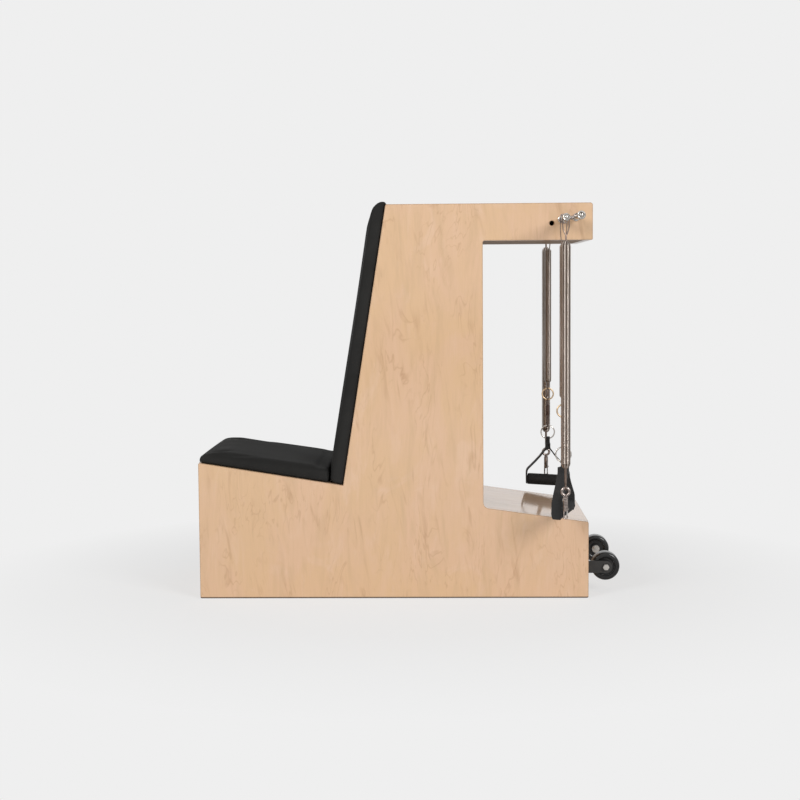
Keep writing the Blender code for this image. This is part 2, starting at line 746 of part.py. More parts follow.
def coil(name, centre, top, bottom, full_radius, tube, turns, end_turns, tapers, end_radii):
    """A spring as one unbroken tube whose end turns close in on its hooks."""
    start, finish_z = top - tube, bottom + tube
    knots = [0, end_turns, turns - end_turns, turns]
    heights = [start, top - tapers[0], bottom + tapers[1], finish_z]
    radii = [end_radii[0], full_radius, full_radius, end_radii[1]]
    count = int(turns * TURN_POINTS)
    points = []
    for step in range(count + 1):
        turn = turns * step / count
        radius = float(np.interp(turn, knots, radii))
        height = float(np.interp(turn, knots, heights))
        angle = 2 * math.pi * turn
        offset = Vector((radius * math.cos(angle), radius * math.sin(angle), height - centre.z))
        points.append(centre + offset)
    for first, second, at_start in ((0, 1, True), (-1, -2, False)):
        way = (points[first] - points[second]).normalized()
        extra = points[first] + 2 * tube * way
        points = [extra] + points if at_start else points + [extra]
    track = np.array([tuple(point) for point in points])
    least = 1.0
    for index in range(len(track)):
        others = track[index + TURN_POINTS // 2:]
        if len(others):
            least = min(least, float(np.linalg.norm(others - track[index], axis=1).min()))
    print(f"{name} least gap to itself {1000 * (least - 2 * tube):.2f} mm")
    finish(wire(points, tube), name, STEEL, centre)


def inside_radius(full_radius, tube):
    """How wide a piece can be inside the coil, whose turns are drawn with few points."""
    return full_radius * math.cos(math.pi / TURN_POINTS) - tube - COIL_CLEARANCE


def around(radius, tube):
    """The turn that closes round a stem of this radius."""
    return (radius + COIL_CLEARANCE + tube) / math.cos(math.pi / TURN_POINTS)


def long_spring(side, sign, bottom, eye_z):
    y = sign * (SIDE + LONG_OFFSET)
    pivot = Vector((POST_FRONT_X, y, POST_FRONT_Z))
    drop = POST_FRONT_Z - LOOP_VERTEX_Z
    full = LONG_OUTER_RADIUS - LONG_TUBE
    loop = []
    for step in range(6):
        share = 1 - step / 5
        loop.append((-LOOP_RADIUS * math.cos(math.pi / 2 * share), -drop * share))
    for step in range(1, 8):
        turn = math.pi * (1 - step / 8)
        loop.append((LOOP_RADIUS * math.cos(turn), LOOP_RADIUS * math.sin(turn)))
    for step in range(6):
        share = step / 5
        loop.append((LOOP_RADIUS * math.cos(math.pi / 2 * share), -drop * share))
    hook = wire([pivot + Vector((x, 0, z)) for x, z in loop[1:-1]], LONG_LOOP_WIRE)
    down = (0, 0, -1)
    button = inside_radius(full, LONG_TUBE)
    button_z = LONG_FULL_TOP_Z - 2 * LONG_TUBE
    stem_top = LOOP_VERTEX_Z + 4 * LONG_STEM_RADIUS
    length = stem_top - button_z + BUTTON_THICKNESS
    stem = turned([
        (0, length), (button, length), (button, length - BUTTON_THICKNESS),
        (LONG_STEM_RADIUS, length - BUTTON_THICKNESS), (LONG_STEM_RADIUS, LONG_STEM_RADIUS),
        (LONG_LOOP_WIRE, 0), (0, 0),
    ], 12, down, (pivot.x, y, stem_top))
    finish(joined(hook, stem), f"{side}_long_spring_hook", STEEL, pivot)
    ends = (around(LONG_STEM_RADIUS, LONG_TUBE), around(LONG_ROD_RADIUS, LONG_TUBE))
    centre = Vector((pivot.x, y, LONG_TOP_Z))
    coil(f"{side}_long_spring_coil", centre, LONG_TOP_Z, bottom, full, LONG_TUBE, LONG_TURNS,
         LONG_END_TURNS, (LONG_TOP_Z - LONG_FULL_TOP_Z, LONG_END_TAPER), ends)
    eye_top = eye_z + LONG_EYE_RADIUS
    bar = eye_top - LONG_EYE_WIRE - LINK_CLEARANCE - LONG_ROD_EYE_WIRE
    low = Vector((pivot.x, y, bar + LONG_ROD_EYE_RADIUS))
    high = low + Vector((0, 0, LONG_ROD_EYE_SLACK))
    made = wire(stadium(low, high, LONG_ROD_EYE_RADIUS, (0, 1, 0), 6), LONG_ROD_EYE_WIRE, True)
    button_top = bottom + LONG_END_TAPER + 3 * LONG_TUBE
    stem_low = high.z + LONG_ROD_EYE_RADIUS - LONG_ROD_EYE_WIRE / 2
    length = button_top - stem_low
    stem = turned([
        (0, length), (button, length), (button, length - BUTTON_THICKNESS),
        (LONG_ROD_RADIUS, length - BUTTON_THICKNESS), (LONG_ROD_RADIUS, LONG_ROD_EYE_WIRE),
        (LONG_ROD_EYE_WIRE, 0), (0, 0),
    ], 12, (0, 0, 1), (pivot.x, y, stem_low))
    finish(joined(made, stem), f"{side}_long_spring_rod", STEEL, (pivot.x, y, bar))
    collar_z = eye_z - LONG_EYE_RADIUS - LONG_EYE_WIRE - GAP
    eye = wire(circle((pivot.x, y, eye_z), LONG_EYE_RADIUS, (1, 0, 0), (0, 0, 1), 18),
               LONG_EYE_WIRE, True)
    snap(f"{side}_long", pivot.x, y, eye, (pivot.x, y, bar), eye_z - LONG_EYE_RADIUS, collar_z,
         LONG_BARREL_LENGTH, LONG_HOOK_DROP, Vector((1, 0, 0)), STEEL)


def short_spring(side, sign, twist, tilt):
    y = sign * (SIDE + SHORT_OFFSET)
    pivot = Vector((POST_FRONT_X, y, POST_FRONT_Z))
    full = SHORT_OUTER_RADIUS - SHORT_TUBE
    button = inside_radius(full, SHORT_TUBE)
    button_z = SHORT_TOP_Z - 4 * SHORT_TUBE
    drop = POST_FRONT_Z - button_z
    left_leg = []
    for step in range(6):
        share = 1 - step / 5
        spread = SHORT_LEG_OFFSET + (LOOP_RADIUS - SHORT_LEG_OFFSET) * math.cos(math.pi / 2 * share)
        left_leg.append((-spread, -drop * share))
    crown = []
    for step in range(1, 8):
        turn = math.pi * (1 - step / 8)
        crown.append((LOOP_RADIUS * math.cos(turn), LOOP_RADIUS * math.sin(turn)))
    right_leg = [(-x, z) for x, z in reversed(left_leg)]
    path = [pivot + Vector((x, 0, z)) for x, z in left_leg + crown + right_leg]
    hook = wire(path, SHORT_LOOP_WIRE)
    disc = rod(button, (pivot.x, y, button_z + BUTTON_THICKNESS / 2),
               (pivot.x, y, button_z - BUTTON_THICKNESS))
    finish(joined(hook, disc), f"{side}_short_spring_hook", STEEL, pivot)
    centre = Vector((pivot.x, y, SHORT_TOP_Z))
    ends = (full, around(SHORT_ROD_RADIUS, SHORT_TUBE))
    coil(f"{side}_short_spring_coil", centre, SHORT_TOP_Z, SHORT_BOTTOM_Z, full, SHORT_TUBE,
         SHORT_TURNS, SHORT_END_TURNS, (SHORT_END_TAPER, SHORT_END_TAPER), ends)
    ring_top = TAN_RING_Z + TAN_RING_RADIUS
    bar = ring_top - TAN_RING_WIRE - LINK_CLEARANCE - SHORT_ROD_EYE_WIRE
    low = Vector((pivot.x, y, bar + ROD_EYE_RADIUS))
    high = low + Vector((0, 0, SHORT_ROD_EYE_SLACK))
    made = wire(stadium(low, high, ROD_EYE_RADIUS, (0, 1, 0), 5), SHORT_ROD_EYE_WIRE, True)
    button_top = SHORT_BOTTOM_Z + SHORT_END_TAPER + 3 * SHORT_TUBE
    stem_low = high.z + ROD_EYE_RADIUS - SHORT_ROD_EYE_WIRE / 2
    length = button_top - stem_low
    stem = turned([
        (0, length), (button, length), (button, length - BUTTON_THICKNESS),
        (SHORT_ROD_RADIUS, length - BUTTON_THICKNESS), (SHORT_ROD_RADIUS, SHORT_ROD_EYE_WIRE),
        (SHORT_ROD_EYE_WIRE, 0), (0, 0),
    ], 12, (0, 0, 1), (pivot.x, y, stem_low))
    tail = rod(SHORT_ROD_RADIUS, (pivot.x, y, bar), (pivot.x, y, ROD_TAIL_END_Z), 10)
    finish(joined(made, stem, tail), f"{side}_short_spring_rod", STEEL, (pivot.x, y, bar))
    ring = wire(circle((pivot.x, y, TAN_RING_Z), TAN_RING_RADIUS, (1, 0, 0), (0, 0, 1), 20),
                TAN_RING_WIRE, True)
    finish(ring, f"{side}_tan_ring", BRASS, (pivot.x, y, bar))
    link = TAN_RING_Z - TAN_RING_RADIUS
    eye_bar = link + TAN_RING_WIRE + LINK_CLEARANCE + SHORT_EYE_WIRE
    high = Vector((pivot.x, y, eye_bar - SHORT_EYE_RADIUS))
    low = high - Vector((0, 0, SHORT_EYE_SLACK))
    eye = wire(stadium(low, high, SHORT_EYE_RADIUS, (0, 1, 0), 5), SHORT_EYE_WIRE, True)
    hook_bar = O_RING_Z + O_RING_RADIUS - O_RING_WIRE - LINK_CLEARANCE - HOOK_WIRE
    barrel_bottom = SHORT_COLLAR_BOTTOM_Z - GAP - SHORT_BARREL_LENGTH
    drop = barrel_bottom - (hook_bar + HOOK_RADIUS)
    snap(f"{side}_short", pivot.x, y, eye, (pivot.x, y, link), low.z - SHORT_EYE_RADIUS,
         SHORT_COLLAR_BOTTOM_Z, SHORT_BARREL_LENGTH, drop, Vector((0, 1, 0)), DARK_STEEL)
    ring = wire(circle((pivot.x, y, O_RING_Z), O_RING_RADIUS, (1, 0, 0), (0, 0, 1), 22),
                O_RING_WIRE, True)
    finish(ring, f"{side}_handle_ring", CHROME, (pivot.x, y, hook_bar))
    handle(side, pivot.x, y, twist, tilt)


def snap(prefix, x, y, eye, eye_origin, eye_bottom, collar_z, barrel_length, drop, across, look):
    """A swivel snap: an eye whose headed neck turns in the barrel, the barrel with its
    hook, and a sliding bolt that closes the hook."""
    neck_end = collar_z - GAP - NECK_LENGTH - NECK_CLEARANCE
    head_end = neck_end - NECK_HEAD_THICKNESS
    top = eye_bottom
    neck = turned([
        (0, top - head_end), (NECK_HEAD_RADIUS, top - head_end),
        (NECK_HEAD_RADIUS, top - neck_end), (NECK_RADIUS, top - neck_end),
        (NECK_RADIUS, top - collar_z), (SWIVEL_COLLAR_RADIUS, top - collar_z),
        (SWIVEL_COLLAR_RADIUS, top - collar_z - 2 * GAP - (top - collar_z) / 3),
        (NECK_RADIUS, 0), (0, 0),
    ], 10, (0, 0, -1), (x, y, top))
    finish(joined(eye, neck), f"{prefix}_snap_eye", look, eye_origin)
    barrel_top = collar_z - GAP
    bottom = barrel_top - barrel_length
    lip = NECK_RADIUS + NECK_CLEARANCE
    pocket = NECK_HEAD_RADIUS + NECK_CLEARANCE
    pocket_depth = NECK_LENGTH + NECK_HEAD_THICKNESS + 2 * NECK_CLEARANCE
    barrel = turned([
        (0, -pocket_depth), (pocket, -pocket_depth), (pocket, -NECK_LENGTH), (lip, -NECK_LENGTH),
        (lip, 0), (BARREL_RADIUS - BARREL_CHAMFER, 0), (BARREL_RADIUS, -BARREL_CHAMFER),
        (BARREL_RADIUS, BARREL_CHAMFER - barrel_length),
        (BARREL_RADIUS - BARREL_CHAMFER, -barrel_length), (0, -barrel_length),
    ], 12, (0, 0, 1), (x, y, barrel_top))
    base = Vector((x, y, bottom))
    bend = base - Vector((0, 0, drop))
    path = [base - HOOK_RADIUS * across + Vector((0, 0, 2 * HOOK_WIRE))]
    for step in range(9):
        turn = math.pi + math.pi * step / 8
        path.append(bend + HOOK_RADIUS * (math.cos(turn) * across + Vector((0, 0, math.sin(turn)))))
    nose = bend + HOOK_RADIUS * across + Vector((0, 0, HOOK_WIRE))
    path.append(nose)
    barrel = joined(barrel, wire(path, HOOK_WIRE))
    bolt_line = base + BOLT_OFFSET * across
    bore_depth = BOLT_INSIDE + BOLT_TRAVEL + BOLT_CLEARANCE
    up = Vector((0, 0, 1))
    bore = rod(BOLT_RADIUS + BOLT_CLEARANCE, bolt_line - BARREL_CHAMFER * up,
               bolt_line + bore_depth * up, 12)
    slot_half = BOLT_STUD_RADIUS + BOLT_CLEARANCE
    sideways = up.cross(across)
    low = BOLT_STUD_HEIGHT - slot_half
    high = BOLT_STUD_HEIGHT + BOLT_TRAVEL + slot_half
    corners = [(low, -slot_half), (high, -slot_half), (high, slot_half), (low, slot_half)]
    slot = loft([
        [bolt_line + reach * across + h * up + s * sideways for h, s in corners]
        for reach in (0, BARREL_RADIUS)
    ])
    finish(cut(barrel, bore, slot), f"{prefix}_snap_body", look, (x, y, barrel_top))
    tip = Vector((bolt_line.x, bolt_line.y, nose.z + GAP))
    bolt = rod(BOLT_RADIUS, tip, bolt_line + BOLT_INSIDE * up, 10)
    stud_start = bolt_line + BOLT_STUD_HEIGHT * up
    reach = BOLT_STUD_REACH + BOLT_RADIUS
    stud = turned([
        (0, reach + BOLT_CAP_LENGTH), (BOLT_CAP_RADIUS, reach + BOLT_CAP_LENGTH),
        (BOLT_CAP_RADIUS, reach), (BOLT_STUD_RADIUS, reach), (BOLT_STUD_RADIUS, 0), (0, 0),
    ], 10, across, stud_start)
    finish(joined(bolt, stud), f"{prefix}_snap_bolt", CHROME, bolt_line)


# Handles


def webbing(points, widths, across, thickness):
    """A flat band along points in one upright plane, with its width across that plane."""
    sections = []
    for index, (point, width) in enumerate(zip(points, widths)):
        before = points[max(index - 1, 0)]
        after = points[min(index + 1, len(points) - 1)]
        way = (after - before).normalized()
        normal = way.cross(across).normalized() * thickness / 2
        side = across * width / 2
        sections.append([point - side - normal, point + side - normal,
                         point + side + normal, point - side + normal])
    return loft(sections)


def handle(side, x, y, twist, tilt):
    """A grip that turns on the round core of a webbing strap, which hangs on a ring."""
    axis = Vector((math.cos(twist) * math.cos(tilt), math.sin(twist) * math.cos(tilt),
                   -math.sin(tilt)))
    level = Vector((math.cos(twist), math.sin(twist), 0))
    across = Vector((-math.sin(twist), math.cos(twist), 0))
    up = Vector((0, 0, 1))
    centre = Vector((x, y, GRIP_Z))
    half = HANDLE_LENGTH / 2 - WEBBING_THICKNESS / 2
    hang = O_RING_Z - O_RING_RADIUS
    # The band rests on the ring where the ring rises under the band's edges
    edge_rise = O_RING_RADIUS - math.sqrt(O_RING_RADIUS ** 2 - STRAP_LOOP_WIDTH ** 2 / 4)
    loop_z = hang + O_RING_WIRE + edge_rise + GAP - STRAP_LOOP_BORE
    loop_outer = STRAP_LOOP_BORE + WEBBING_THICKNESS
    wide = STRAP_LOOP_WIDTH / 2
    strap = turned([(loop_outer, wide), (loop_outer, -wide), (STRAP_LOOP_BORE, -wide),
                    (STRAP_LOOP_BORE, wide)], 16, (1, 0, 0), (x, y, loop_z), closed=True)
    stem_top = loop_z - STRAP_LOOP_BORE - WEBBING_THICKNESS / 3
    stem_bottom = FORK_Z - WEBBING_THICKNESS
    # The stem's width turns from the ring's direction to the strap's by the shorter way
    short_way = twist - math.pi / 2 if twist > math.pi / 4 else 0.0
    if short_way:
        last = (WEBBING_WIDTH + 2 * STEM_WRAP, STEM_THICKNESS)
    else:
        last = (STEM_THICKNESS, WEBBING_WIDTH + 2 * STEM_WRAP)
    sections = []
    for share in (0, 0.25, 0.5, 0.75, 1):
        angle = short_way * share
        first = (STRAP_LOOP_WIDTH, STEM_NECK_THICKNESS)
        a = (first[0] + (last[0] - first[0]) * share) / 2
        b = (first[1] + (last[1] - first[1]) * share) / 2
        one = Vector((math.cos(angle), math.sin(angle), 0))
        two = Vector((-math.sin(angle), math.cos(angle), 0))
        height = stem_top + (stem_bottom - stem_top) * share
        middle = Vector((x, y, height))
        sections.append([middle + p * a * one + q * b * two
                         for p, q in ((-1, -1), (1, -1), (1, 1), (-1, 1))])
    strap = joined(strap, loft(sections))
    top = FORK_Z - GRIP_Z
    plate = GRIP_LENGTH / 2 + GAP
    start = STEM_THICKNESS / 2 - WEBBING_THICKNESS / 2 - STEM_WRAP
    route = [(start, top + ARM_SINK), (start, top), (0.14, 0.88), (0.31, 0.745), (0.54, 0.585),
             (0.79, 0.425), (0.955, 0.31), (1.0, 0.22), (1.0, 0.0), (1.0, -0.15)]
    for sign in (-1, 1):
        points, widths = [], []
        for index, (out, rise) in enumerate(route):
            reach = out if index < 2 else start + (half - start) * out
            height = rise if index < 2 else top * rise
            points.append(centre + sign * reach * level + height * up
                          - sign * reach * math.tan(tilt) * up * min(1, (top - height) / top))
            widths.append(WEBBING_WIDTH)
        widths[-1] = END_PLATE_LOW_WIDTH
        strap = joined(strap, webbing(points, widths, across, WEBBING_THICKNESS))
    core = rod(CORE_ROD_RADIUS, centre - half * axis, centre + half * axis, 14)
    finish(joined(strap, core), f"{side}_handle_strap", WEBBING, (x, y, hang))
    bore = CORE_ROD_RADIUS + GRIP_BORE_CLEARANCE
    length = min(GRIP_LENGTH / 2, plate)
    grip = turned([
        (bore, length), (GRIP_RADIUS - GRIP_ROUND, length), (GRIP_RADIUS, length - GRIP_ROUND),
        (GRIP_RADIUS, GRIP_ROUND - length), (GRIP_RADIUS - GRIP_ROUND, -length), (bore, -length),
    ], 20, axis, centre, closed=True)
    finish(grip, f"{side}_handle_grip", FOAM, centre)


body()
pads()
SIDES = (("left", -1, LONG_BOTTOM_Z_LEFT, LONG_EYE_Z_LEFT, LEFT_HANDLE_TURN, LEFT_GRIP_TILT),
         ("right", 1, LONG_BOTTOM_Z_RIGHT, LONG_EYE_Z_RIGHT, 0.0, RIGHT_GRIP_TILT))
for which, hand, low_end, snap_z, handle_turn, grip_tilt in SIDES:
    wheel(which, hand)
    post(f"{which}_hanger_post_front", POST_FRONT_X, POST_FRONT_Z, hand, KNOB_FRONT_RADIUS,
         (SHORT_OFFSET, LONG_OFFSET))
    post(f"{which}_hanger_post_rear", POST_REAR_X, POST_REAR_Z, hand, KNOB_REAR_RADIUS, ())
    parked_snap(f"{which}_parked_snap", hand)
    long_spring(which, hand, low_end, snap_z)
    short_spring(which, hand, handle_turn, grip_tilt)
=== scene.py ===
"""Dresses a pilates arm chair: maple box body, vinyl pads, wheels, springs, snaps and grip handles.

Metres. X runs to the chair's rear, Y to the sitter's right and Z up.
"""

import json
import math

import bpy
import numpy as np
from bpy.props import BoolProperty, FloatProperty, FloatVectorProperty, IntProperty
from bpy.props import PointerProperty
from mathutils import Matrix, Vector

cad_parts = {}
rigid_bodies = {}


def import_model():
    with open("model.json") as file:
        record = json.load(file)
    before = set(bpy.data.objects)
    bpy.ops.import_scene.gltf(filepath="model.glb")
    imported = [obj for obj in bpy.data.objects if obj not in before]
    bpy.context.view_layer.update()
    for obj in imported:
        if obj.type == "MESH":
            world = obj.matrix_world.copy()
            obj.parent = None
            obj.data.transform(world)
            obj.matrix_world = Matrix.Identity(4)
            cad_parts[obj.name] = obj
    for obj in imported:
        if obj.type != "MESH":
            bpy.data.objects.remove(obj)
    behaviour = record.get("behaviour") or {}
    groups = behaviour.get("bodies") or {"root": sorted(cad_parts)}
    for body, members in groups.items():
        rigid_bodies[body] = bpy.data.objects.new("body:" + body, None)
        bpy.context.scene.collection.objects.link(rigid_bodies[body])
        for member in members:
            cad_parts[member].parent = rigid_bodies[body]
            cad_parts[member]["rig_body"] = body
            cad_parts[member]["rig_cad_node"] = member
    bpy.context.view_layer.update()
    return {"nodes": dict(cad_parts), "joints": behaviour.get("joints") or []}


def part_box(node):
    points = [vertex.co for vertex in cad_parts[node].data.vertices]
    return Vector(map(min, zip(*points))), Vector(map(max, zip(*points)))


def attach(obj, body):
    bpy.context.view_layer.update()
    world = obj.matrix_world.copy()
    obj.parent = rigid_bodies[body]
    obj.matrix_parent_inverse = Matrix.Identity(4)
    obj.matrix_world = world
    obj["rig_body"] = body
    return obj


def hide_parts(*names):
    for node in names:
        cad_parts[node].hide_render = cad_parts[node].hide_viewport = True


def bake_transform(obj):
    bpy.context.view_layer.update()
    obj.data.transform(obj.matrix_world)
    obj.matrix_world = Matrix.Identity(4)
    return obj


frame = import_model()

bl_info = {
    "name": "Pilates Arm Chair",
    "version": (1, 0, 0),
    "blender": (4, 5, 0),
    "location": "View3D > Sidebar > Arm Chair",
    "description": "Builds a pilates arm chair's looks, stage and camera round its CAD frame",
    "category": "Object",
}

JOINTS = {joint["name"]: joint for joint in frame["joints"]}
SIDES = (("left", -1), ("right", 1))
UP = Vector((0, 0, 1))
REARWARD = Vector((1, 0, 0))
SITTERS_RIGHT = Vector((0, 1, 0))

VENEERS = {
    "side": ("left_side_panel", "right_side_panel"),
    "upright": ("front_panel", "back_board", "arm_end_panel", "column_panel", "rear_panel"),
    "lengthways": ("base_panel", "seat_board", "top_panel", "shelf_panel"),
    # The raw finish has no lacquer, and its darker colour is painted shade under the arm
    "raw": ("arm_floor_panel",),
}


def colour(name, words, value):
    return FloatVectorProperty(name=name, description=words, default=value, subtype="COLOR",
                               size=3, min=0, max=1)


def length(name, words, value):
    return FloatProperty(name=name, description=words, default=value, unit="LENGTH", precision=4)


class ArmChairLooks(bpy.types.PropertyGroup):
    """Colours of the chair's finishes."""

    maple: colour("Maple", "Lacquered maple veneer", (0.655, 0.432, 0.252))
    maple_rose: colour("Maple, rose", "The veneer's pinker patches", (0.668, 0.436, 0.284))
    maple_pale: colour("Maple, pale", "The veneer's paler patches", (0.690, 0.470, 0.315))
    maple_line: colour("Maple line", "The darker lines of the figure", (0.430, 0.240, 0.125))
    maple_edge: colour("Maple edge", "Rounded edges of the panels", (0.300, 0.180, 0.100))
    # Painted contact shadow: a dark band on the panels' lowest rim, where the shade under the chair
    # falls
    maple_foot_shadow: colour("Maple foot", "The lowest rim of the panels, darkened by painted contact shadow",
                       (0.060, 0.038, 0.025))
    # Painted shade: the raw underside's colour is darkened to stand in for the shade under the arm
    maple_underside_shade: colour("Maple, raw", "Undersides that are left unlacquered", (0.225, 0.142, 0.080))
    vinyl: colour("Vinyl", "Upholstery on the seat and the back", (0.0255, 0.0250, 0.0240))
    # Painted reflections: the coils' light and dark streaks stand in for bright and dark
    # surroundings seen in the steel
    spring: colour("Spring steel", "Light streaks of the coils", (0.56, 0.50, 0.45))
    spring_dark_painted_reflection: colour("Spring steel, dark", "Dark streaks of the coils", (0.170, 0.130, 0.108))
    wire: colour("Bent wire", "Hooks and rods", (0.20, 0.15, 0.125))
    snap: colour("Nickel", "Snaps on the long springs", (0.42, 0.36, 0.33))
    chrome: colour("Chrome", "Posts, rings and wheel bolts", (0.64, 0.615, 0.58))
    # Painted reflection: dark patches that stand in for dark surroundings seen in the chrome
    chrome_painted_dark_reflection: colour("Chrome, dull", "Dull patches of the posts and rings", (0.20, 0.17, 0.14))
    dark_steel: colour("Dark steel", "Snaps on the short springs", (0.115, 0.080, 0.070))
    brass: colour("Brass", "Rings under the short springs", (0.66, 0.49, 0.31))
    webbing: colour("Webbing", "Handle straps", (0.010, 0.010, 0.010))
    foam: colour("Foam", "Hand grips", (0.009, 0.009, 0.009))
    rubber: colour("Tyre", "Wheel tyres", (0.006, 0.006, 0.006))
    plastic: colour("Wheel core", "Moulded wheel cores", (0.008, 0.008, 0.008))
    coat: colour("Powder coat", "Wheel brackets", (0.024, 0.023, 0.022))


class ArmChairSizes(bpy.types.PropertyGroup):
    """Sizes of the parts that are finer than the CAD solids."""

    long_coil_wire: length("Long coil wire", "Wire diameter of the long springs", 0.0022)
    short_coil_wire: length("Short coil wire", "Wire diameter of the short springs", 0.0017)
    coil_air: length("Air between turns", "Gap left between one turn and the next", 0.0002)
    pad_voxel: length("Pad mesh", "Mesh size of the pads while they are blown up", 0.0055)
    pad_puff: length("Pad swell", "The most that a pad's cover may swell", 0.0030)
    coil_steps: IntProperty(name="Coil steps", description="Steps in one turn of a coil",
                            default=16, min=8, max=32)


class ArmChairStage(bpy.types.PropertyGroup):
    """Light, floor and camera."""

    backdrop: colour("Backdrop", "Backdrop and floor as the camera sees them",
                     (0.863, 0.863, 0.863))
    ambient: FloatProperty(name="Ambient", description="Even light from all round",
                           default=0.30, min=0, max=2)
    key_power: FloatProperty(name="Key lamp", description="Power of the large lamp at the right",
                             default=200.0, min=0, max=900, unit="POWER")
    fill_power: FloatProperty(name="Fill lamp", description="Power of the lamp at the left",
                              default=188.0, min=0, max=900, unit="POWER")
    lens: FloatProperty(name="Lens", description="Focal length on a 36 mm sensor",
                        default=67.5, min=10, max=300, unit="CAMERA")
    show_floor: BoolProperty(name="Floor", description="Show the floor", default=True)


# Modelling helpers


def deselect():
    if bpy.context.object and bpy.context.object.mode != "OBJECT":
        bpy.ops.object.mode_set(mode="OBJECT")
    bpy.ops.object.select_all(action="DESELECT")
    bpy.context.tool_settings.mesh_select_mode = (True, False, False)


def only(thing):
    deselect()
    thing.select_set(True)
    bpy.context.view_layer.objects.active = thing
    return thing


def edit(thing, select="SELECT"):
    only(thing)
    bpy.ops.object.mode_set(mode="EDIT")
    bpy.ops.mesh.select_all(action=select)


def leave():
    bpy.ops.object.mode_set(mode="OBJECT")


def placed():
    """Applies the new primitive's place, so that its object sits at the origin."""
    bpy.ops.object.transform_apply(location=True, rotation=True, scale=True)
    return bpy.context.object


def closed_up(thing, within=1e-6):
    edit(thing)
    bpy.ops.mesh.remove_doubles(threshold=within)
    bpy.ops.mesh.select_all(action="SELECT")
    bpy.ops.mesh.normals_make_consistent(inside=False)
    leave()
    return thing


def choose(thing, test):
    """Selects the points of a mesh that pass the test, and nothing else."""
    leave()
    places = np.empty(len(thing.data.vertices) * 3)
    thing.data.vertices.foreach_get("co", places)
    picked = test(places.reshape(-1, 3))
    for kind in (thing.data.edges, thing.data.polygons):
        kind.foreach_set("select", np.zeros(len(kind), bool))
    thing.data.vertices.foreach_set("select", picked)
    bpy.ops.object.mode_set(mode="EDIT")
    return picked.any()


def trace(points, ring=False):
    """A line drawn by pulling one point along from place to place."""
    deselect()
    here = Vector(points[0])
    bpy.ops.mesh.primitive_plane_add(size=0.001, location=here)
    line = placed()
    edit(line)
    bpy.ops.mesh.merge(type="CENTER")
    for point in points[1:]:
        step = Vector(point) - here
        bpy.ops.mesh.extrude_region_move(TRANSFORM_OT_translate={"value": step})
        here = Vector(point)
    leave()
    if ring:
        ends = [vertex.index in (0, len(line.data.vertices) - 1) for vertex in line.data.vertices]
        choose(line, lambda places: np.array(ends))
        bpy.ops.mesh.edge_face_add()
        leave()
    return line


def wire(points, radius, ring=False, smooth=4, sides=3):
    """Round wire bent along the points."""
    only(trace(points, ring))
    bpy.ops.object.convert(target="CURVE")
    line = bpy.context.object
    bpy.ops.object.mode_set(mode="EDIT")
    bpy.ops.curve.select_all(action="SELECT")
    bpy.ops.curve.spline_type_set(type="BEZIER")
    bpy.ops.curve.handle_type_set(type="AUTOMATIC")
    leave()
    line.data.resolution_u = smooth
    line.data.render_resolution_u = 0
    line.data.dimensions = "3D"
    line.data.bevel_depth = radius
    line.data.bevel_resolution = sides
    line.data.use_fill_caps = True
    bpy.ops.object.convert(target="MESH")
    return closed_up(bpy.context.object)


def arc(centre, radius, across, up, start, sweep, steps):
    """Points on an arc. Its angles are degrees, turned from the first direction to the second."""
    turns = [math.radians(start + sweep * step / steps) for step in range(steps + 1)]
    return [centre + radius * (math.cos(turn) * across + math.sin(turn) * up) for turn in turns]


def lathe(profile, axis, centre, steps, bore=False):
    """A turned piece from (radius, distance along the axis) pairs."""
    axis, centre = Vector(axis).normalized(), Vector(centre)
    outward = axis.orthogonal().normalized()
    thing = trace([centre + outward * radius + axis * along for radius, along in profile], bore)
    edit(thing)
    bpy.ops.mesh.spin(steps=steps, angle=2 * math.pi, center=centre, axis=axis)
    return closed_up(thing)


def corner(radius, along, out, over):
    """A quarter turn of a lathe's profile, which goes out and over by the given amounts."""
    turns = [math.pi / 2 * step / 6 for step in range(7)]
    return [(radius + out * math.sin(turn), along + over * math.cos(turn)) for turn in turns]


def both_ends(profile, *middle):
    """A profile and its mirror image, with what lies between them."""
    return [*profile, *middle, *((radius, -along) for radius, along in reversed(profile))]


def ring_of(centre, radius, thickness, around=96):
    """A plain ring whose hole faces sideways."""
    deselect()
    bpy.ops.mesh.primitive_torus_add(
        major_segments=around, minor_segments=16, major_radius=radius, minor_radius=thickness,
        location=centre, rotation=(math.pi / 2, 0, 0))
    return placed()


def joined(*things):
    deselect()
    for thing in things:
        thing.select_set(True)
    bpy.context.view_layer.objects.active = things[0]
    bpy.ops.object.join()
    return bpy.context.object


def modified(thing, kind, **settings):
    only(thing)
    change = thing.modifiers.new(kind.lower(), kind)
    for key, value in settings.items():
        setattr(change, key, value)
    bpy.ops.object.modifier_apply(modifier=change.name)
    return thing


def softened(thing, width):
    """Rounds the edges that are sharper than 50 degrees."""
    return modified(thing, "BEVEL", width=width, segments=2, limit_method="ANGLE",
                    angle_limit=math.radians(50))


def middle_of(node):
    low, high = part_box(node)
    return (low + high) / 2


def copied(thing, shift):
    """A copy with its own mesh, moved by the shift."""
    only(thing)
    bpy.ops.object.duplicate(linked=False)
    copy = bpy.context.object
    copy.location = Vector(shift)
    return placed()


def settle(thing, name, body, node, material, angle=35, stretch=None):
    """Names a finished piece, paints it and hangs it on its body.

    A piece given a stretch, such as a coil, has its place baked in instead and hangs on no body;
    what the stretch holds is not used.
    """
    only(thing)
    thing.name = name
    thing.data.name = name
    bpy.ops.object.shade_smooth_by_angle(angle=math.radians(angle))
    thing.data.materials.clear()
    thing.data.materials.append(material)
    if stretch:
        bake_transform(thing)
    else:
        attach(thing, body)
    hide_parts(node)


# Materials


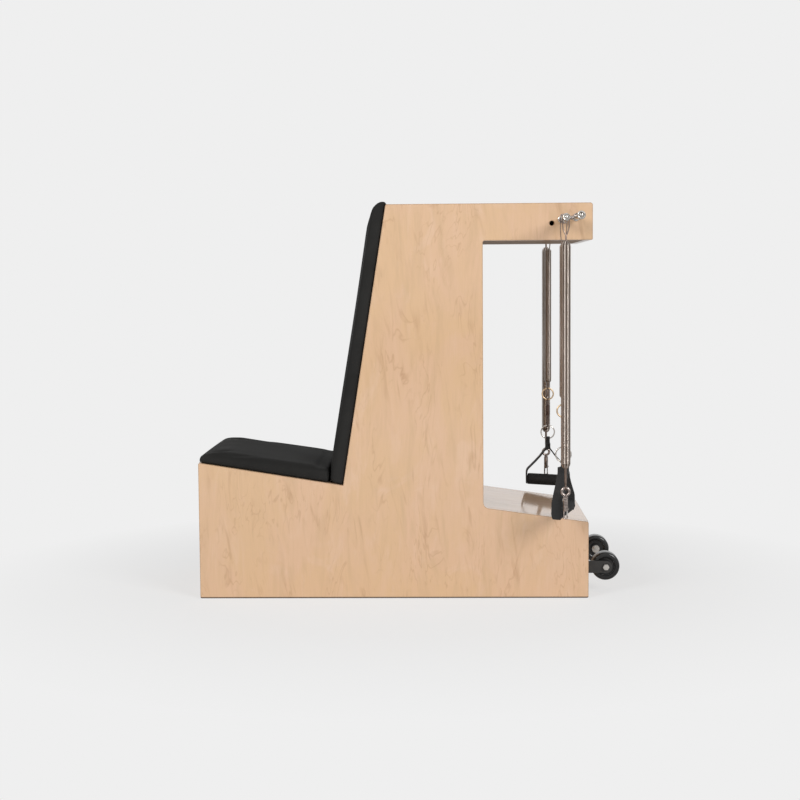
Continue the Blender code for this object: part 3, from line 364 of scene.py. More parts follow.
class Net:
    """A node tree with short ways to add and join its nodes."""

    def __init__(self, owner):
        owner.use_nodes = True
        self.tree = owner.node_tree

    def node(self, kind, inputs=None, **settings):
        made = self.tree.nodes.new(kind)
        for key, value in settings.items():
            setattr(made, key, value)
        for key, value in (inputs or {}).items():
            self.feed(made.inputs[key], value)
        return made

    def feed(self, socket, value):
        if isinstance(value, bpy.types.NodeSocket):
            self.tree.links.new(value, socket)
        else:
            socket.default_value = value

    def sums(self, operation, first, second=0.0):
        return self.node("ShaderNodeMath", {0: first, 1: second},
                         operation=operation).outputs["Value"]


class Paint(Net):
    """A new procedural material."""

    def __init__(self, name, **uniform):
        self.material = bpy.data.materials.new(name)
        super().__init__(self.material)
        self.shader = self.tree.nodes["Principled BSDF"]
        for socket, value in uniform.items():
            self.shader.inputs[socket.replace("_", " ")].default_value = value
        coordinates = self.node("ShaderNodeTexCoord").outputs
        self.place, self.normal = coordinates["Object"], coordinates["Normal"]
        self.body = None

    def scaled(self, scale, turn=(0, 0, 0)):
        """The place in axes that are turned first, and squeezed by the scale after that."""
        return self.node("ShaderNodeMapping", {
            "Vector": self.place, "Scale": tuple(1 / part for part in scale),
            "Rotation": turn}, vector_type="TEXTURE").outputs["Vector"]

    def noise(self, vector, scale, detail, roughness=0.5, distortion=0.0):
        return self.node("ShaderNodeTexNoise", {
            "Vector": vector, "Scale": scale, "Detail": detail, "Roughness": roughness,
            "Distortion": distortion}).outputs["Fac"]

    def wave(self, vector, scale, distortion, detail, direction):
        return self.node("ShaderNodeTexWave", {
            "Vector": vector, "Scale": scale, "Distortion": distortion, "Detail": detail,
        }, bands_direction=direction).outputs["Fac"]

    def cells(self, vector, scale, feature="F1"):
        return self.node("ShaderNodeTexVoronoi", {"Vector": vector, "Scale": scale},
                         feature=feature).outputs["Distance"]

    def levels(self, value, low, high, to_low=0.0, to_high=1.0):
        return self.node("ShaderNodeMapRange", {
            "Value": value, "From Min": low, "From Max": high, "To Min": to_low,
            "To Max": to_high}).outputs["Result"]

    def blend(self, share, first, second):
        mix = self.node("ShaderNodeMix", data_type="RGBA")
        self.feed(mix.inputs["Factor"], share)
        for socket, value in ((mix.inputs[6], first), (mix.inputs[7], second)):
            self.feed(socket, value if isinstance(value, bpy.types.NodeSocket) else (*value, 1))
        return mix.outputs[2]

    def veil(self, share, tone):
        """Lays a tone over the colour so far, by its share."""
        self.body = self.blend(share, self.body, tone)

    def colour(self, value):
        self.feed(self.shader.inputs["Base Color"], value)

    def roughness(self, value):
        self.feed(self.shader.inputs["Roughness"], value)

    def bump(self, height, distance, strength):
        before = self.shader.inputs["Normal"].links
        inputs = {"Height": height, "Distance": distance, "Strength": strength}
        if before:
            inputs["Normal"] = before[0].from_socket
        bump = self.node("ShaderNodeBump", inputs)
        self.feed(self.shader.inputs["Normal"], bump.outputs["Normal"])

    def scratched(self, grain, smooth, rough):
        """Fine marks in a metal's sheen and skin."""
        marks = self.noise(self.place, grain, 3, 0.6)
        self.roughness(self.levels(marks, 0.3, 0.7, smooth, rough))
        self.bump(marks, 0.00001, 0.35)


def shade(tone, factor):
    return tuple(part * factor for part in tone)


def maple(name, turn=(0, 0, 0), lacquer=1.0, gloss=1.5):
    """Maple veneer with its grain upright, or turned to lie; lacquered, or raw without lacquer and
    painted darker as shade.
    """
    looks = bpy.context.scene.arm_chair_looks
    paint = Paint(name, Specular_IOR_Level=0.25, Coat_Weight=lacquer, Coat_Roughness=0.09,
                  Coat_IOR=gloss)
    plain, rose, pale, tone = looks.maple, looks.maple_rose, looks.maple_pale, looks.maple_line
    # Without lacquer the veneer takes the underside's darker colour, which is painted shade
    if not lacquer:
        plain = looks.maple_underside_shade
        rose, pale, tone = (shade(plain, factor) for factor in (1.1, 1.2, 0.6))
    dark = shade(plain, 0.88)

    def grain(squeeze, *settings, way=turn):
        return paint.noise(paint.scaled(squeeze, way), *settings)

    # Broad patches, pinker and paler, twice as tall as they are wide
    paint.body = plain
    paint.veil(paint.levels(grain((1, 1, 0.55), 7.0, 4, 0.60, 0.9), 0.42, 0.60, 0, 0.75), rose)
    paint.veil(paint.levels(grain((1.1, 1, 0.60), 9.0, 5, 0.62, 1.6), 0.55, 0.66, 0, 0.70), pale)
    # Long clouds that follow the grain
    clouds = grain((1, 1, 0.17), 22, 5, 0.62, 1.6)
    paint.veil(paint.levels(clouds, 0.50, 0.72, 0, 0.75), dark)
    paint.veil(paint.levels(clouds, 0.44, 0.26, 0, 0.65), pale)
    # Flame figure: thin ragged lines where a warped band pattern turns over
    warp = grain((1.6, 1, 0.42), 6.5, 4, 0.56, 0.9)
    line = paint.sums("PINGPONG", paint.sums("MULTIPLY", warp, 26.0), 1.0)
    broken = paint.levels(grain((1, 1, 0.5), 15, 3), 0.46, 0.60)
    figure = paint.sums("MULTIPLY", paint.levels(line, 0.76, 1.0), broken)
    paint.veil(paint.sums("MULTIPLY", figure, 0.40), tone)
    # Short dark flecks that lean a little, in looser and denser crowds
    lean = (turn[0], turn[1] - 0.13, turn[2])
    streak = grain((1, 1, 0.14), 62, 2, 0.45, 0.7, way=lean)
    crowd = paint.levels(grain((1, 1, 0.6), 11, 3), 0.40, 0.60, 0.25, 1)
    fleck = paint.sums("MULTIPLY", paint.levels(streak, 0.60, 0.72), crowd)
    paint.veil(paint.sums("MULTIPLY", fleck, 0.42), tone)
    pores = grain((1, 1, 0.035), 640, 2)
    paint.veil(paint.levels(pores, 0.50, 0.80, 0, 0.35), dark)
    # Rounded edges are painted darker
    rounded = paint.node("ShaderNodeBevel", {"Radius": 0.0040}, samples=8).outputs["Normal"]
    flat = paint.node("ShaderNodeNewGeometry").outputs["True Normal"]
    agree = paint.node("ShaderNodeVectorMath", {0: rounded, 1: flat},
                       operation="DOT_PRODUCT").outputs["Value"]
    paint.veil(paint.levels(agree, 0.985, 0.88, 0, 0.85), looks.maple_edge)
    # Painted contact shadow: the lowest rim, up to 3.6 mm above the floor, is painted dark
    height = paint.node("ShaderNodeSeparateXYZ", {"Vector": paint.place}).outputs["Z"]
    paint.veil(paint.levels(height, 0.0036, 0.0022, 0, 0.92), looks.maple_foot_shadow)
    paint.colour(paint.body)
    paint.roughness(paint.levels(clouds, 0.3, 0.7, 0.42, 0.52))
    paint.bump(pores, 0.00002, 0.30)
    return paint.material


def vinyl(name, tone):
    """Upholstery vinyl with a fine pebbled skin."""
    paint = Paint(name, Specular_IOR_Level=0.012)
    pebbles = paint.cells(paint.place, 620, "SMOOTH_F1")
    creases = paint.noise(paint.place, 900, 3, 0.6)
    wear = paint.noise(paint.place, 9, 4, 0.55)
    paint.colour(paint.blend(paint.levels(wear, 0.3, 0.7), shade(tone, 0.82), shade(tone, 1.18)))
    paint.roughness(paint.levels(wear, 0.3, 0.7, 0.54, 0.64))
    paint.bump(pebbles, 0.00012, 0.35)
    paint.bump(creases, 0.00006, 0.30)
    return paint.material


def metal(name, tone, smooth, rough, grain=900.0, painted_dark_reflection=None):
    """Plated or drawn metal with fine marks, a bloom, and dark patches of painted reflection where
    asked.
    """
    paint = Paint(name, Metallic=1.0)
    bloom = paint.levels(paint.noise(paint.place, 60, 4, 0.6), 0.3, 0.7)
    paint.body = paint.blend(bloom, shade(tone, 0.86), shade(tone, 1.08))
    # Painted reflection: dark patches that stand in for dark surroundings seen in the metal
    if painted_dark_reflection:
        patches = paint.noise(paint.place, 260.0, 3, 0.55, 1.5)
        paint.veil(paint.levels(patches, 0.50, 0.60, 0, 0.9), painted_dark_reflection)
    paint.colour(paint.body)
    paint.scratched(grain, smooth, rough)
    return paint.material


def painted_reflection_coil(name, light, dark):
    """Close-wound spring wire with painted reflections: light and dark streaks, set by which way
    the surface faces round the coil, that run down the coil's turns.
    """
    paint = Paint(name, Metallic=1.0)
    normal = paint.node("ShaderNodeSeparateXYZ", {"Vector": paint.normal}).outputs
    # Painted reflection: nine light and dark streaks round the coil, by the way the surface faces
    turn = paint.sums("ARCTAN2", normal["X"], paint.sums("MULTIPLY", normal["Y"], -1.0))
    phase = paint.sums("SUBTRACT", paint.sums("MULTIPLY", turn, 9.0), 0.68)
    uneven = paint.levels(paint.noise(paint.scaled((1, 1, 0.3)), 90, 3, 0.6), 0.3, 0.7, -0.25, 0.25)
    painted_streaks = paint.sums("ADD", paint.sums("COSINE", phase), uneven)
    paint.colour(paint.blend(paint.levels(painted_streaks, 0.25, -0.55), dark, light))
    paint.scratched(900, 0.26, 0.40)
    return paint.material


def moulded(name, tone, roughness, grain, depth):
    """Moulded rubber or plastic, or powder coat."""
    paint = Paint(name, Specular_IOR_Level=0.5)
    cloud = paint.noise(paint.place, 45, 4, 0.6)
    paint.colour(paint.blend(paint.levels(cloud, 0.3, 0.7), shade(tone, 0.8), shade(tone, 1.25)))
    paint.roughness(paint.levels(cloud, 0.3, 0.7, roughness - 0.06, roughness + 0.06))
    paint.bump(paint.noise(paint.place, grain, 4, 0.65), depth, 0.6)
    return paint.material


def woven(name, tone):
    """Black nylon webbing with a close herringbone weave."""
    paint = Paint(name, Specular_IOR_Level=0.35, Sheen_Weight=0.25, Sheen_Roughness=0.5)
    slant = paint.wave(paint.scaled((1, 1, 1), (0, 0.7, 0)), 260, 0.6, 1.0, "X")
    rows = paint.wave(paint.place, 190, 0.4, 1.0, "Z")
    weave = paint.sums("MULTIPLY", slant, rows)
    paint.colour(paint.blend(weave, shade(tone, 0.7), shade(tone, 1.7)))
    paint.roughness(paint.levels(weave, 0, 1, 0.82, 0.68))
    paint.bump(weave, 0.00025, 0.8)
    return paint.material


def pebbled_foam(name, tone):
    """Closed foam with small pores."""
    paint = Paint(name, Specular_IOR_Level=0.3)
    pores = paint.cells(paint.place, 1300)
    cloud = paint.noise(paint.place, 120, 4)
    paint.colour(paint.blend(paint.levels(pores, 0.0, 0.7), shade(tone, 0.7), shade(tone, 1.4)))
    paint.roughness(paint.levels(cloud, 0.3, 0.7, 0.72, 0.86))
    paint.bump(pores, 0.00015, 0.5)
    return paint.material


PAINTS = {}


def paints():
    """All the finishes, made once."""
    if PAINTS:
        return PAINTS
    looks = bpy.context.scene.arm_chair_looks
    laid = (0, math.pi / 2, 0)
    PAINTS.update(
        side=maple("maple_side_veneer"),
        upright=maple("maple_upright_veneer"),
        lengthways=maple("maple_lengthways_veneer", laid, gloss=1.9),
        # Painted shade: the underside's veneer is darker because it stands in the shade under the
        # arm
        raw=maple("maple_raw_underside_shade", laid, lacquer=0.0),
        vinyl=vinyl("black_vinyl", looks.vinyl),
        # The coil's streaks are painted reflections
        spring=painted_reflection_coil("spring_steel_painted_reflections", looks.spring, looks.spring_dark_painted_reflection),
        wire=metal("bent_steel_wire", looks.wire, 0.24, 0.38),
        # The snaps' and the chrome's dark patches are painted reflections
        snap=metal("nickel_snap", looks.snap, 0.18, 0.32, painted_dark_reflection=shade(looks.snap, 0.28)),
        chrome=metal("polished_chrome", looks.chrome, 0.08, 0.20, 400.0, looks.chrome_painted_dark_reflection),
        bolt=metal("bright_zinc", looks.chrome, 0.22, 0.34, 600.0),
        dark=metal("dark_nickel", looks.dark_steel, 0.25, 0.42),
        brass=metal("satin_brass", looks.brass, 0.24, 0.36),
        webbing=woven("black_webbing", looks.webbing),
        foam=pebbled_foam("black_grip_foam", looks.foam),
        rubber=moulded("tyre_rubber", looks.rubber, 0.15, 500, 0.00001),
        plastic=moulded("wheel_core_nylon", looks.plastic, 0.16, 700, 0.00001),
        coat=moulded("black_powder_coat", looks.coat, 0.50, 900, 0.00006),
    )
    return PAINTS


# Stage


def area_lamp(name, place, power):
    """A large square lamp that faces the chair."""
    aim, width = Vector((0.05, 0, 0.30)), 2.3
    deselect()
    bpy.ops.object.light_add(type="AREA", location=place)
    lamp = bpy.context.object
    lamp.name = name
    lamp.data.shape = "SQUARE"
    lamp.data.size = width
    lamp.data.energy = power
    way = aim - Vector(place)
    lamp.rotation_euler = way.to_track_quat("-Z", "Y").to_euler()


def world_light(stage):
    """Even light on the chair, and the backdrop's colour for the camera and in reflections."""
    world = bpy.data.worlds.new("even_light")
    bpy.context.scene.world = world
    net = Net(world)
    net.tree.nodes.clear()
    path = net.node("ShaderNodeLightPath").outputs
    seen = net.node("ShaderNodeBackground", {"Color": (*stage.backdrop, 1)})
    lit = net.node("ShaderNodeBackground", {"Color": (1, 1, 1, 1), "Strength": stage.ambient})
    share = net.sums("MAXIMUM", path["Is Camera Ray"], path["Is Glossy Ray"])
    share = net.sums("MAXIMUM", share, path["Is Transmission Ray"])
    mix = net.node("ShaderNodeMixShader", {0: share, 1: lit.outputs[0], 2: seen.outputs[0]})
    net.node("ShaderNodeOutputWorld", {"Surface": mix.outputs[0]})


def floor_paint(stage):
    """Pale floor that keeps a soft part of the shadow and fades into the backdrop."""
    paint = Paint("pale_floor", Base_Color=(*stage.backdrop, 1), Specular_IOR_Level=0.0)
    grit = paint.noise(paint.place, 30, 3)
    paint.roughness(paint.levels(grit, 0.3, 0.7, 0.88, 0.95))
    glow = paint.node("ShaderNodeEmission", {"Color": (*stage.backdrop, 1)}).outputs[0]
    path = paint.node("ShaderNodeLightPath").outputs["Is Camera Ray"]
    far = paint.node("ShaderNodeVectorMath", {0: paint.place}, operation="LENGTH")
    fade = paint.levels(far.outputs["Value"], 0.55, 1.15, 0.72, 1.0)
    share = paint.sums("MULTIPLY", path, fade)
    mix = paint.node("ShaderNodeMixShader", {0: share, 1: paint.shader.outputs[0], 2: glow})
    paint.feed(paint.tree.nodes["Material Output"].inputs["Surface"], mix.outputs[0])
    return paint.material


class ARMCHAIR_OT_stage(bpy.types.Operator):
    """Makes the camera, the lamps, the even light and the floor"""

    bl_idname = "armchair.stage"
    bl_label = "Stage"

    def execute(self, context):
        stage = context.scene.arm_chair_stage
        deselect()
        # From the sitter's left, level with the back pad and looking slightly down
        bpy.ops.object.camera_add(location=(0.0771, -3.555, 0.7209))
        camera = bpy.context.object
        camera.name = "camera"
        yaw, pitch, roll = -0.029216, 0.079672, 0.007480
        ahead = Vector((math.sin(yaw) * math.cos(pitch), math.cos(yaw) * math.cos(pitch),
                        -math.sin(pitch)))
        level = Vector((math.cos(yaw), -math.sin(yaw), 0))
        down = ahead.cross(level)
        right = math.cos(roll) * level + math.sin(roll) * down
        down = math.cos(roll) * down - math.sin(roll) * level
        camera.rotation_mode = "QUATERNION"
        camera.rotation_quaternion = Matrix((right, -down, -ahead)).transposed().to_quaternion()
        camera.data.sensor_width = 36
        camera.data.lens = stage.lens
        camera.data.dof.use_dof = False
        camera.data.clip_start, camera.data.clip_end = 0.05, 60
        context.scene.camera = camera
        context.scene.view_settings.view_transform = "Standard"
        for name, x, power in (("key_lamp", 3.9, stage.key_power),
                               ("fill_lamp", -3.8, stage.fill_power)):
            area_lamp(name, (x, -4.64, 3.30), power)
        world_light(stage)
        if stage.show_floor:
            deselect()
            bpy.ops.mesh.primitive_plane_add(size=60, location=(0, 0, -0.0004))
            floor = placed()
            floor.name = "floor"
            floor.data.materials.append(floor_paint(stage))
        return {"FINISHED"}


# Wood, brackets and bolts keep their CAD solids


class ARMCHAIR_OT_panels(bpy.types.Operator):
    """Gives the wooden panels their veneer, and the wheels' metal its finish"""

    bl_idname = "armchair.panels"
    bl_label = "Panels and brackets"

    def execute(self, context):
        finishes = [(name, finish) for finish, names in VENEERS.items() for name in names]
        for side, _ in SIDES:
            finishes += [(f"{side}_wheel_bracket", "coat"), (f"{side}_axle_bolt", "bolt")]
        for name, finish in finishes:
            node, material = frame["nodes"][name], paints()[finish]
            if not node.material_slots:
                node.data.materials.append(material)
            for slot in node.material_slots:
                slot.material = material
        return {"FINISHED"}


# Pads


def blown_up(pad, voxel, swell, pinned):
    """Remeshes a pad and lets cloth pressure swell its cover by a small, capped amount."""
    only(pad)
    pad.data.remesh_voxel_size = voxel
    pad.data.remesh_voxel_adaptivity = 0
    bpy.ops.object.voxel_remesh()
    modified(pad, "SMOOTH", factor=0.5, iterations=6)
    places = np.empty(len(pad.data.vertices) * 3)
    pad.data.vertices.foreach_get("co", places)
    before = places.reshape(-1, 3).copy()
    held = pinned(before)
    group = pad.vertex_groups.new(name="held")
    for index in np.flatnonzero(held > 0):
        group.add([int(index)], float(held[index]), "REPLACE")
    cloth = pad.modifiers.new("cover", "CLOTH")
    cloth.settings.vertex_group_mass = "held"
    cloth.settings.use_pressure = True
    cloth.settings.uniform_pressure_force = 4
    cloth.settings.tension_stiffness = 30
    cloth.settings.compression_stiffness = 30
    cloth.settings.effector_weights.gravity = 0
    cloth.point_cache.frame_end = 20
    for step in range(1, 21):
        bpy.context.scene.frame_set(step)
    graph = bpy.context.evaluated_depsgraph_get()
    swollen = pad.evaluated_get(graph).to_mesh()
    swollen.vertices.foreach_get("co", places)
    pad.evaluated_get(graph).to_mesh_clear()
    pad.modifiers.clear()
    pad.vertex_groups.clear()
    bpy.context.scene.frame_set(1)
    after = places.reshape(-1, 3)
    move = after - before
    far = np.linalg.norm(move, axis=1, keepdims=True)
    move *= np.minimum(1, swell / np.maximum(far, 1e-9)) * (1 - held[:, None])
    pad.data.vertices.foreach_set("co", (before + move).ravel())
    pad.data.update()
    modified(pad, "SMOOTH", factor=0.5, iterations=4)
    return modified(pad, "SUBSURF", levels=1, render_levels=1)


class ARMCHAIR_OT_pads(bpy.types.Operator):
    """Makes the vinyl seat pad and back pad"""

    bl_idname = "armchair.pads"
    bl_label = "Pads"

    def execute(self, context):
        sizes = context.scene.arm_chair_sizes
        rise, run = 0.3112 - 0.2586, 0.3290
        tilt = math.atan2(rise, run)
        along = np.array((math.cos(tilt), 0, -math.sin(tilt)))
        up = np.array((math.sin(tilt), 0, math.cos(tilt)))
        for node, normal, way in (("seat_pad", up, along), ("back_pad", -along, up)):
            only(frame["nodes"][node])
            bpy.ops.object.duplicate(linked=False)
            pad = bpy.context.object
            pad.parent = None
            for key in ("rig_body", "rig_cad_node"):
                del pad[key]
            closed_up(pad, 1e-5)
            base, top = self.span(pad, normal)
            start, end = self.span(pad, way)
            is_seat = node == "seat_pad"
            if is_seat:
                self.thinned(pad, Vector(normal), (base, top), Vector(way), (start, end))

            def pinned(places):
                """How firmly each point is held: the underside, and where the pads meet."""
                height = (places @ normal - base) / (top - base)
                reach = places @ way
                gap = end - reach if is_seat else reach - start
                held = np.clip(1.25 - height / 0.55, 0, 1)
                return np.maximum(held, np.clip(1 - (gap - 0.008) / 0.03, 0, 1))

            pad = blown_up(pad, sizes.pad_voxel, sizes.pad_puff, pinned)
            settle(pad, f"{node}_cover", "chair", node, paints()["vinyl"], 60)
        return {"FINISHED"}

    @staticmethod
    def thinned(pad, normal, depth, way, reach):
        """Lowers the top towards the front edge, where the foam is cut thinner."""
        cut = 0.0042
        for vertex in pad.data.vertices:
            height = (vertex.co.dot(normal) - depth[0]) / (depth[1] - depth[0])
            back = (vertex.co.dot(way) - reach[0]) / (reach[1] - reach[0])
            vertex.co -= normal * (cut * min(max(height, 0), 1) * (1 - min(max(back, 0), 1)))

    @staticmethod
    def span(pad, way):
        reach = [vertex.co.dot(Vector(way)) for vertex in pad.data.vertices]
        return min(reach), max(reach)


# Wheels


class ARMCHAIR_OT_wheels(bpy.types.Operator):
    """Makes the tyre and the core of both wheels"""

    bl_idname = "armchair.wheels"
    bl_label = "Wheels"

    def execute(self, context):
        centre = Vector(JOINTS["left_wheel_spin"]["pos_m"])
        between = 2 * abs(centre.y)
        half, rim, seat = 0.017, 0.0325, 0.0218
        tyre = [(seat, half - 0.0006), (seat + 0.0006, half), (0.0265, half + 0.0001),
                *corner(0.0270, half - 0.0065, 0.0055, 0.0065)]
        body = lathe(both_ends(tyre, (rim, 0)), (0, -1, 0), centre, 72, bore=True)
        core = [(0.0043, half), (0.0078, half), (0.0085, half - 0.0007), (0.0088, half - 0.0022),
                (0.0105, half - 0.0027), (0.0185, half - 0.0020), (0.0200, half - 0.0008),
                (0.0212, half - 0.0006), (0.0215, half - 0.0012)]
        middle = lathe(both_ends(core), (0, -1, 0), centre, 64, bore=True)
        marks, circle, count = [], 0.0135, 12
        for face in (-1, 1):
            for index in range(count):
                turn = 2 * math.pi * index / count
                place = centre + Vector((circle * math.cos(turn), face * (half - 0.0024),
                                         circle * math.sin(turn)))
                marks.append(lathe([(0, 0.0010), (0.0006, 0.0008), (0.0010, 0.0003),
                                    (0.0012, -0.0003), (0, -0.0008)], (0, face, 0), place, 12))
        middle = joined(middle, *marks)
        for side, sign in SIDES:
            for piece, part, slot, paint in ((body, "tyre", "tyre_rubber", "rubber"),
                                             (middle, "core", "black_plastic", "plastic")):
                made = copied(piece, (0, 0 if sign < 0 else between, 0))
                settle(made, f"{side}_{part}", f"{side}_wheel", f"{side}_wheel_{part}",
                       paints()[paint], 30)
        for piece in (body, middle):
            bpy.data.objects.remove(piece)
        return {"FINISHED"}


# Posts and parked snaps


def post_profile(knob_radius, planes):
    """A post from its knob outside the panel to its nut inside, as radius and distance."""
    tip, knob = 0.136, 0.126
    rod, lip, collar = 0.0052, 0.0062, 0.0066
    dish = ((0, 0.0002), (0.24, 0.0004), (0.42, 0.0012), (0.50, 0.0020), (0.56, 0.0012),
            (0.64, 0.0003), (0.76, 0), (0.90, 0.0006), (0.98, 0.0016), (1, 0.0028))
    profile = [(knob_radius * share, tip - depth) for share, depth in dish]
    profile += [(knob_radius, knob + 0.0014), (knob_radius * 0.92, knob + 0.0003), (0.0056, knob)]
    for plane in sorted(planes, reverse=True):
        for near, far in ((0.0035, 0.0020), (-0.0020, -0.0035)):
            if plane + near < knob:
                profile += [(rod, plane + near), (lip, plane + near - 0.0001),
                            (collar, plane + near - 0.0004), (collar, plane + far + 0.0004),
                            (lip, plane + far + 0.0001), (rod, plane + far)]
    return profile + [
        (rod, 0.0036), (0.0070, 0.0033), (0.0080, 0.0026), (0.0080, 0.0003), (rod, 0.0003),
        (rod, -0.0183), (0.0110, -0.0183), (0.0110, -0.0198), (0.0085, -0.0198),
        (0.0085, -0.0278), (0, -0.0278)]


class ARMCHAIR_OT_posts(bpy.types.Operator):
    """Makes the four hanger posts and the snap parked between each pair"""

    bl_idname = "armchair.posts"
    bl_label = "Posts and parked snaps"

    def execute(self, context):
        panel_face, spring_planes = 0.190, (0.058, 0.122)
        for side, sign in SIDES:
            for which, knob, planes in (("front", 0.0083, spring_planes), ("rear", 0.0093, ())):
                node = f"{side}_hanger_post_{which}"
                face = middle_of(node)
                face.y = sign * panel_face
                made = lathe(post_profile(knob, planes), (0, sign, 0), face, 40)
                settle(made, f"{side}_post_{which}", "chair", node,
                       paints()["chrome"], 30)
            self.parked(side, sign)
        return {"FINISHED"}

    @staticmethod
    def parked(side, sign):
        """A snap that hangs by its eye on the front post and hooks on the rear one."""
        front, rear = (middle_of(f"{side}_hanger_post_{which}") for which in ("front", "rear"))
        parked_plane = 0.226
        front.y = rear.y = sign * parked_plane
        along = (rear - front).normalized()
        across = Vector((-along.z, 0, along.x))
        loop_radius, hook_radius, thickness = 0.0093, 0.0072, 0.0017
        centre = front + 0.0021 * along
        loop = wire(arc(centre, loop_radius, along, across, 0, 360, 24)[:-1], thickness,
                    ring=True, smooth=2)
        start = centre + loop_radius * along
        span = (rear - hook_radius * along - start).length
        profile = [(0, 0.0001), (0.0030, 0.0001), (0.0042, 0.0006)]
        ribs = 5
        for index in range(ribs):
            radius = 0.0038 if index % 2 else 0.0045
            profile += [(radius, span * index / ribs + 0.0007),
                        (radius, span * (index + 1) / ribs - 0.0003)]
        barrel = lathe(profile + [(0.0032, span), (0, span)], along, start, 28)
        hook = wire(arc(rear, hook_radius, along, across, 190, -250, 14), thickness, smooth=2)
        tip = rear + 0.0182 * along + 0.0036 * across
        lever = wire([rear + 0.0068 * along, rear + 0.012 * along + 0.001 * across, tip], 0.00135)
        settle(joined(loop, barrel, hook, lever), f"{side}_parked_clip", "chair",
               f"{side}_parked_snap", paints()["snap"])


# Springs


def coil(middle, top, bottom, outside, thickness, top_end, bottom_end):
    """A close-wound coil. Each end gives the height it closes in over and its last radius."""
    sizes = bpy.context.scene.arm_chair_sizes
    pitch = thickness + sizes.coil_air
    radius = outside - thickness / 2
    turns = int((top - bottom - thickness) / pitch)
    pitch = (top - bottom - thickness) / turns
    deselect()
    bpy.ops.mesh.primitive_circle_add(vertices=6, radius=thickness / 2,
                                      rotation=(math.pi / 2, 0, 0))
    made = placed()
    edit(made)
    bpy.ops.transform.translate(value=(radius, 0, bottom + thickness / 2))
    leave()
    modified(made, "SCREW", axis="Z", angle=2 * math.pi, screw_offset=pitch, iterations=turns,
             steps=sizes.coil_steps, render_steps=sizes.coil_steps, use_merge_vertices=False)
    edit(made, "DESELECT")
    bpy.ops.mesh.select_non_manifold(extend=False)
    bpy.ops.mesh.fill_holes(sides=8)
    bpy.ops.mesh.select_all(action="SELECT")
    bpy.ops.mesh.normals_make_consistent(inside=False)
    rings = 9
    for (height, last), edge, sign in ((top_end, top, 1), (bottom_end, bottom, -1)):
        before = 1.0
        for step in range(1, rings + 1):
            share = step / rings
            level = edge - sign * height * (1 - share)
            size = 1 - (1 - last / radius) * share ** 2.2
            reach = level - sign * height / rings
            if choose(made, lambda places: sign * (places[:, 2] - reach) > 0):
                factor = size / before
                bpy.ops.transform.resize(value=(factor, factor, 1), center_override=(0, 0, level))
            before = size
    leave()
    made.location = (middle.x, middle.y, 0)
    only(made)
    return placed()


def top_loop(pivot, drop, spread, thickness, bend):
    """Wire from a spring's neck up round the post and down again."""
    radius, half = 0.0071, []
    for step in range(8):
        share = 1 - step / 8
        out = spread + (radius - spread) * math.cos(math.pi / 2 * share ** bend)
        half.append((-out, -drop * share))
    for step in range(8):
        turn = math.pi * (1 - step / 16)
        half.append((radius * math.cos(turn), radius * math.sin(turn)))
    whole = half + [(0, radius)] + [(-x, z) for x, z in reversed(half)]
    return wire([pivot + Vector((x, 0, z)) for x, z in whole], thickness, smooth=3)


def eye_below(x, y, bar, radius, slack, thickness):
    """A long eye at the foot of a rod, open sideways along X."""
    points = []
    for height, way in ((bar + radius + slack, 1), (bar + radius, -1)):
        points += arc(Vector((x, y, height)), radius, way * SITTERS_RIGHT, way * UP, 0, 180, 12)
    return wire(points, thickness, ring=True, smooth=2)


def upright(profile, pivot, steps, base=0):
    """A turned piece in a spring's middle, with its profile's heights above the base."""
    return lathe(profile, UP, (pivot.x, pivot.y, base), steps)


def hung_rod(pivot, head, disc, rod, foot, *neck):
    """A rod that hangs in a coil by its disc, and narrows to a neck above its eye."""
    return upright([(0, head), (disc, head), (disc, head - 0.002), (rod, head - 0.002),
                    *((radius, foot + rise) for radius, rise in neck), (0, foot)], pivot, 24)


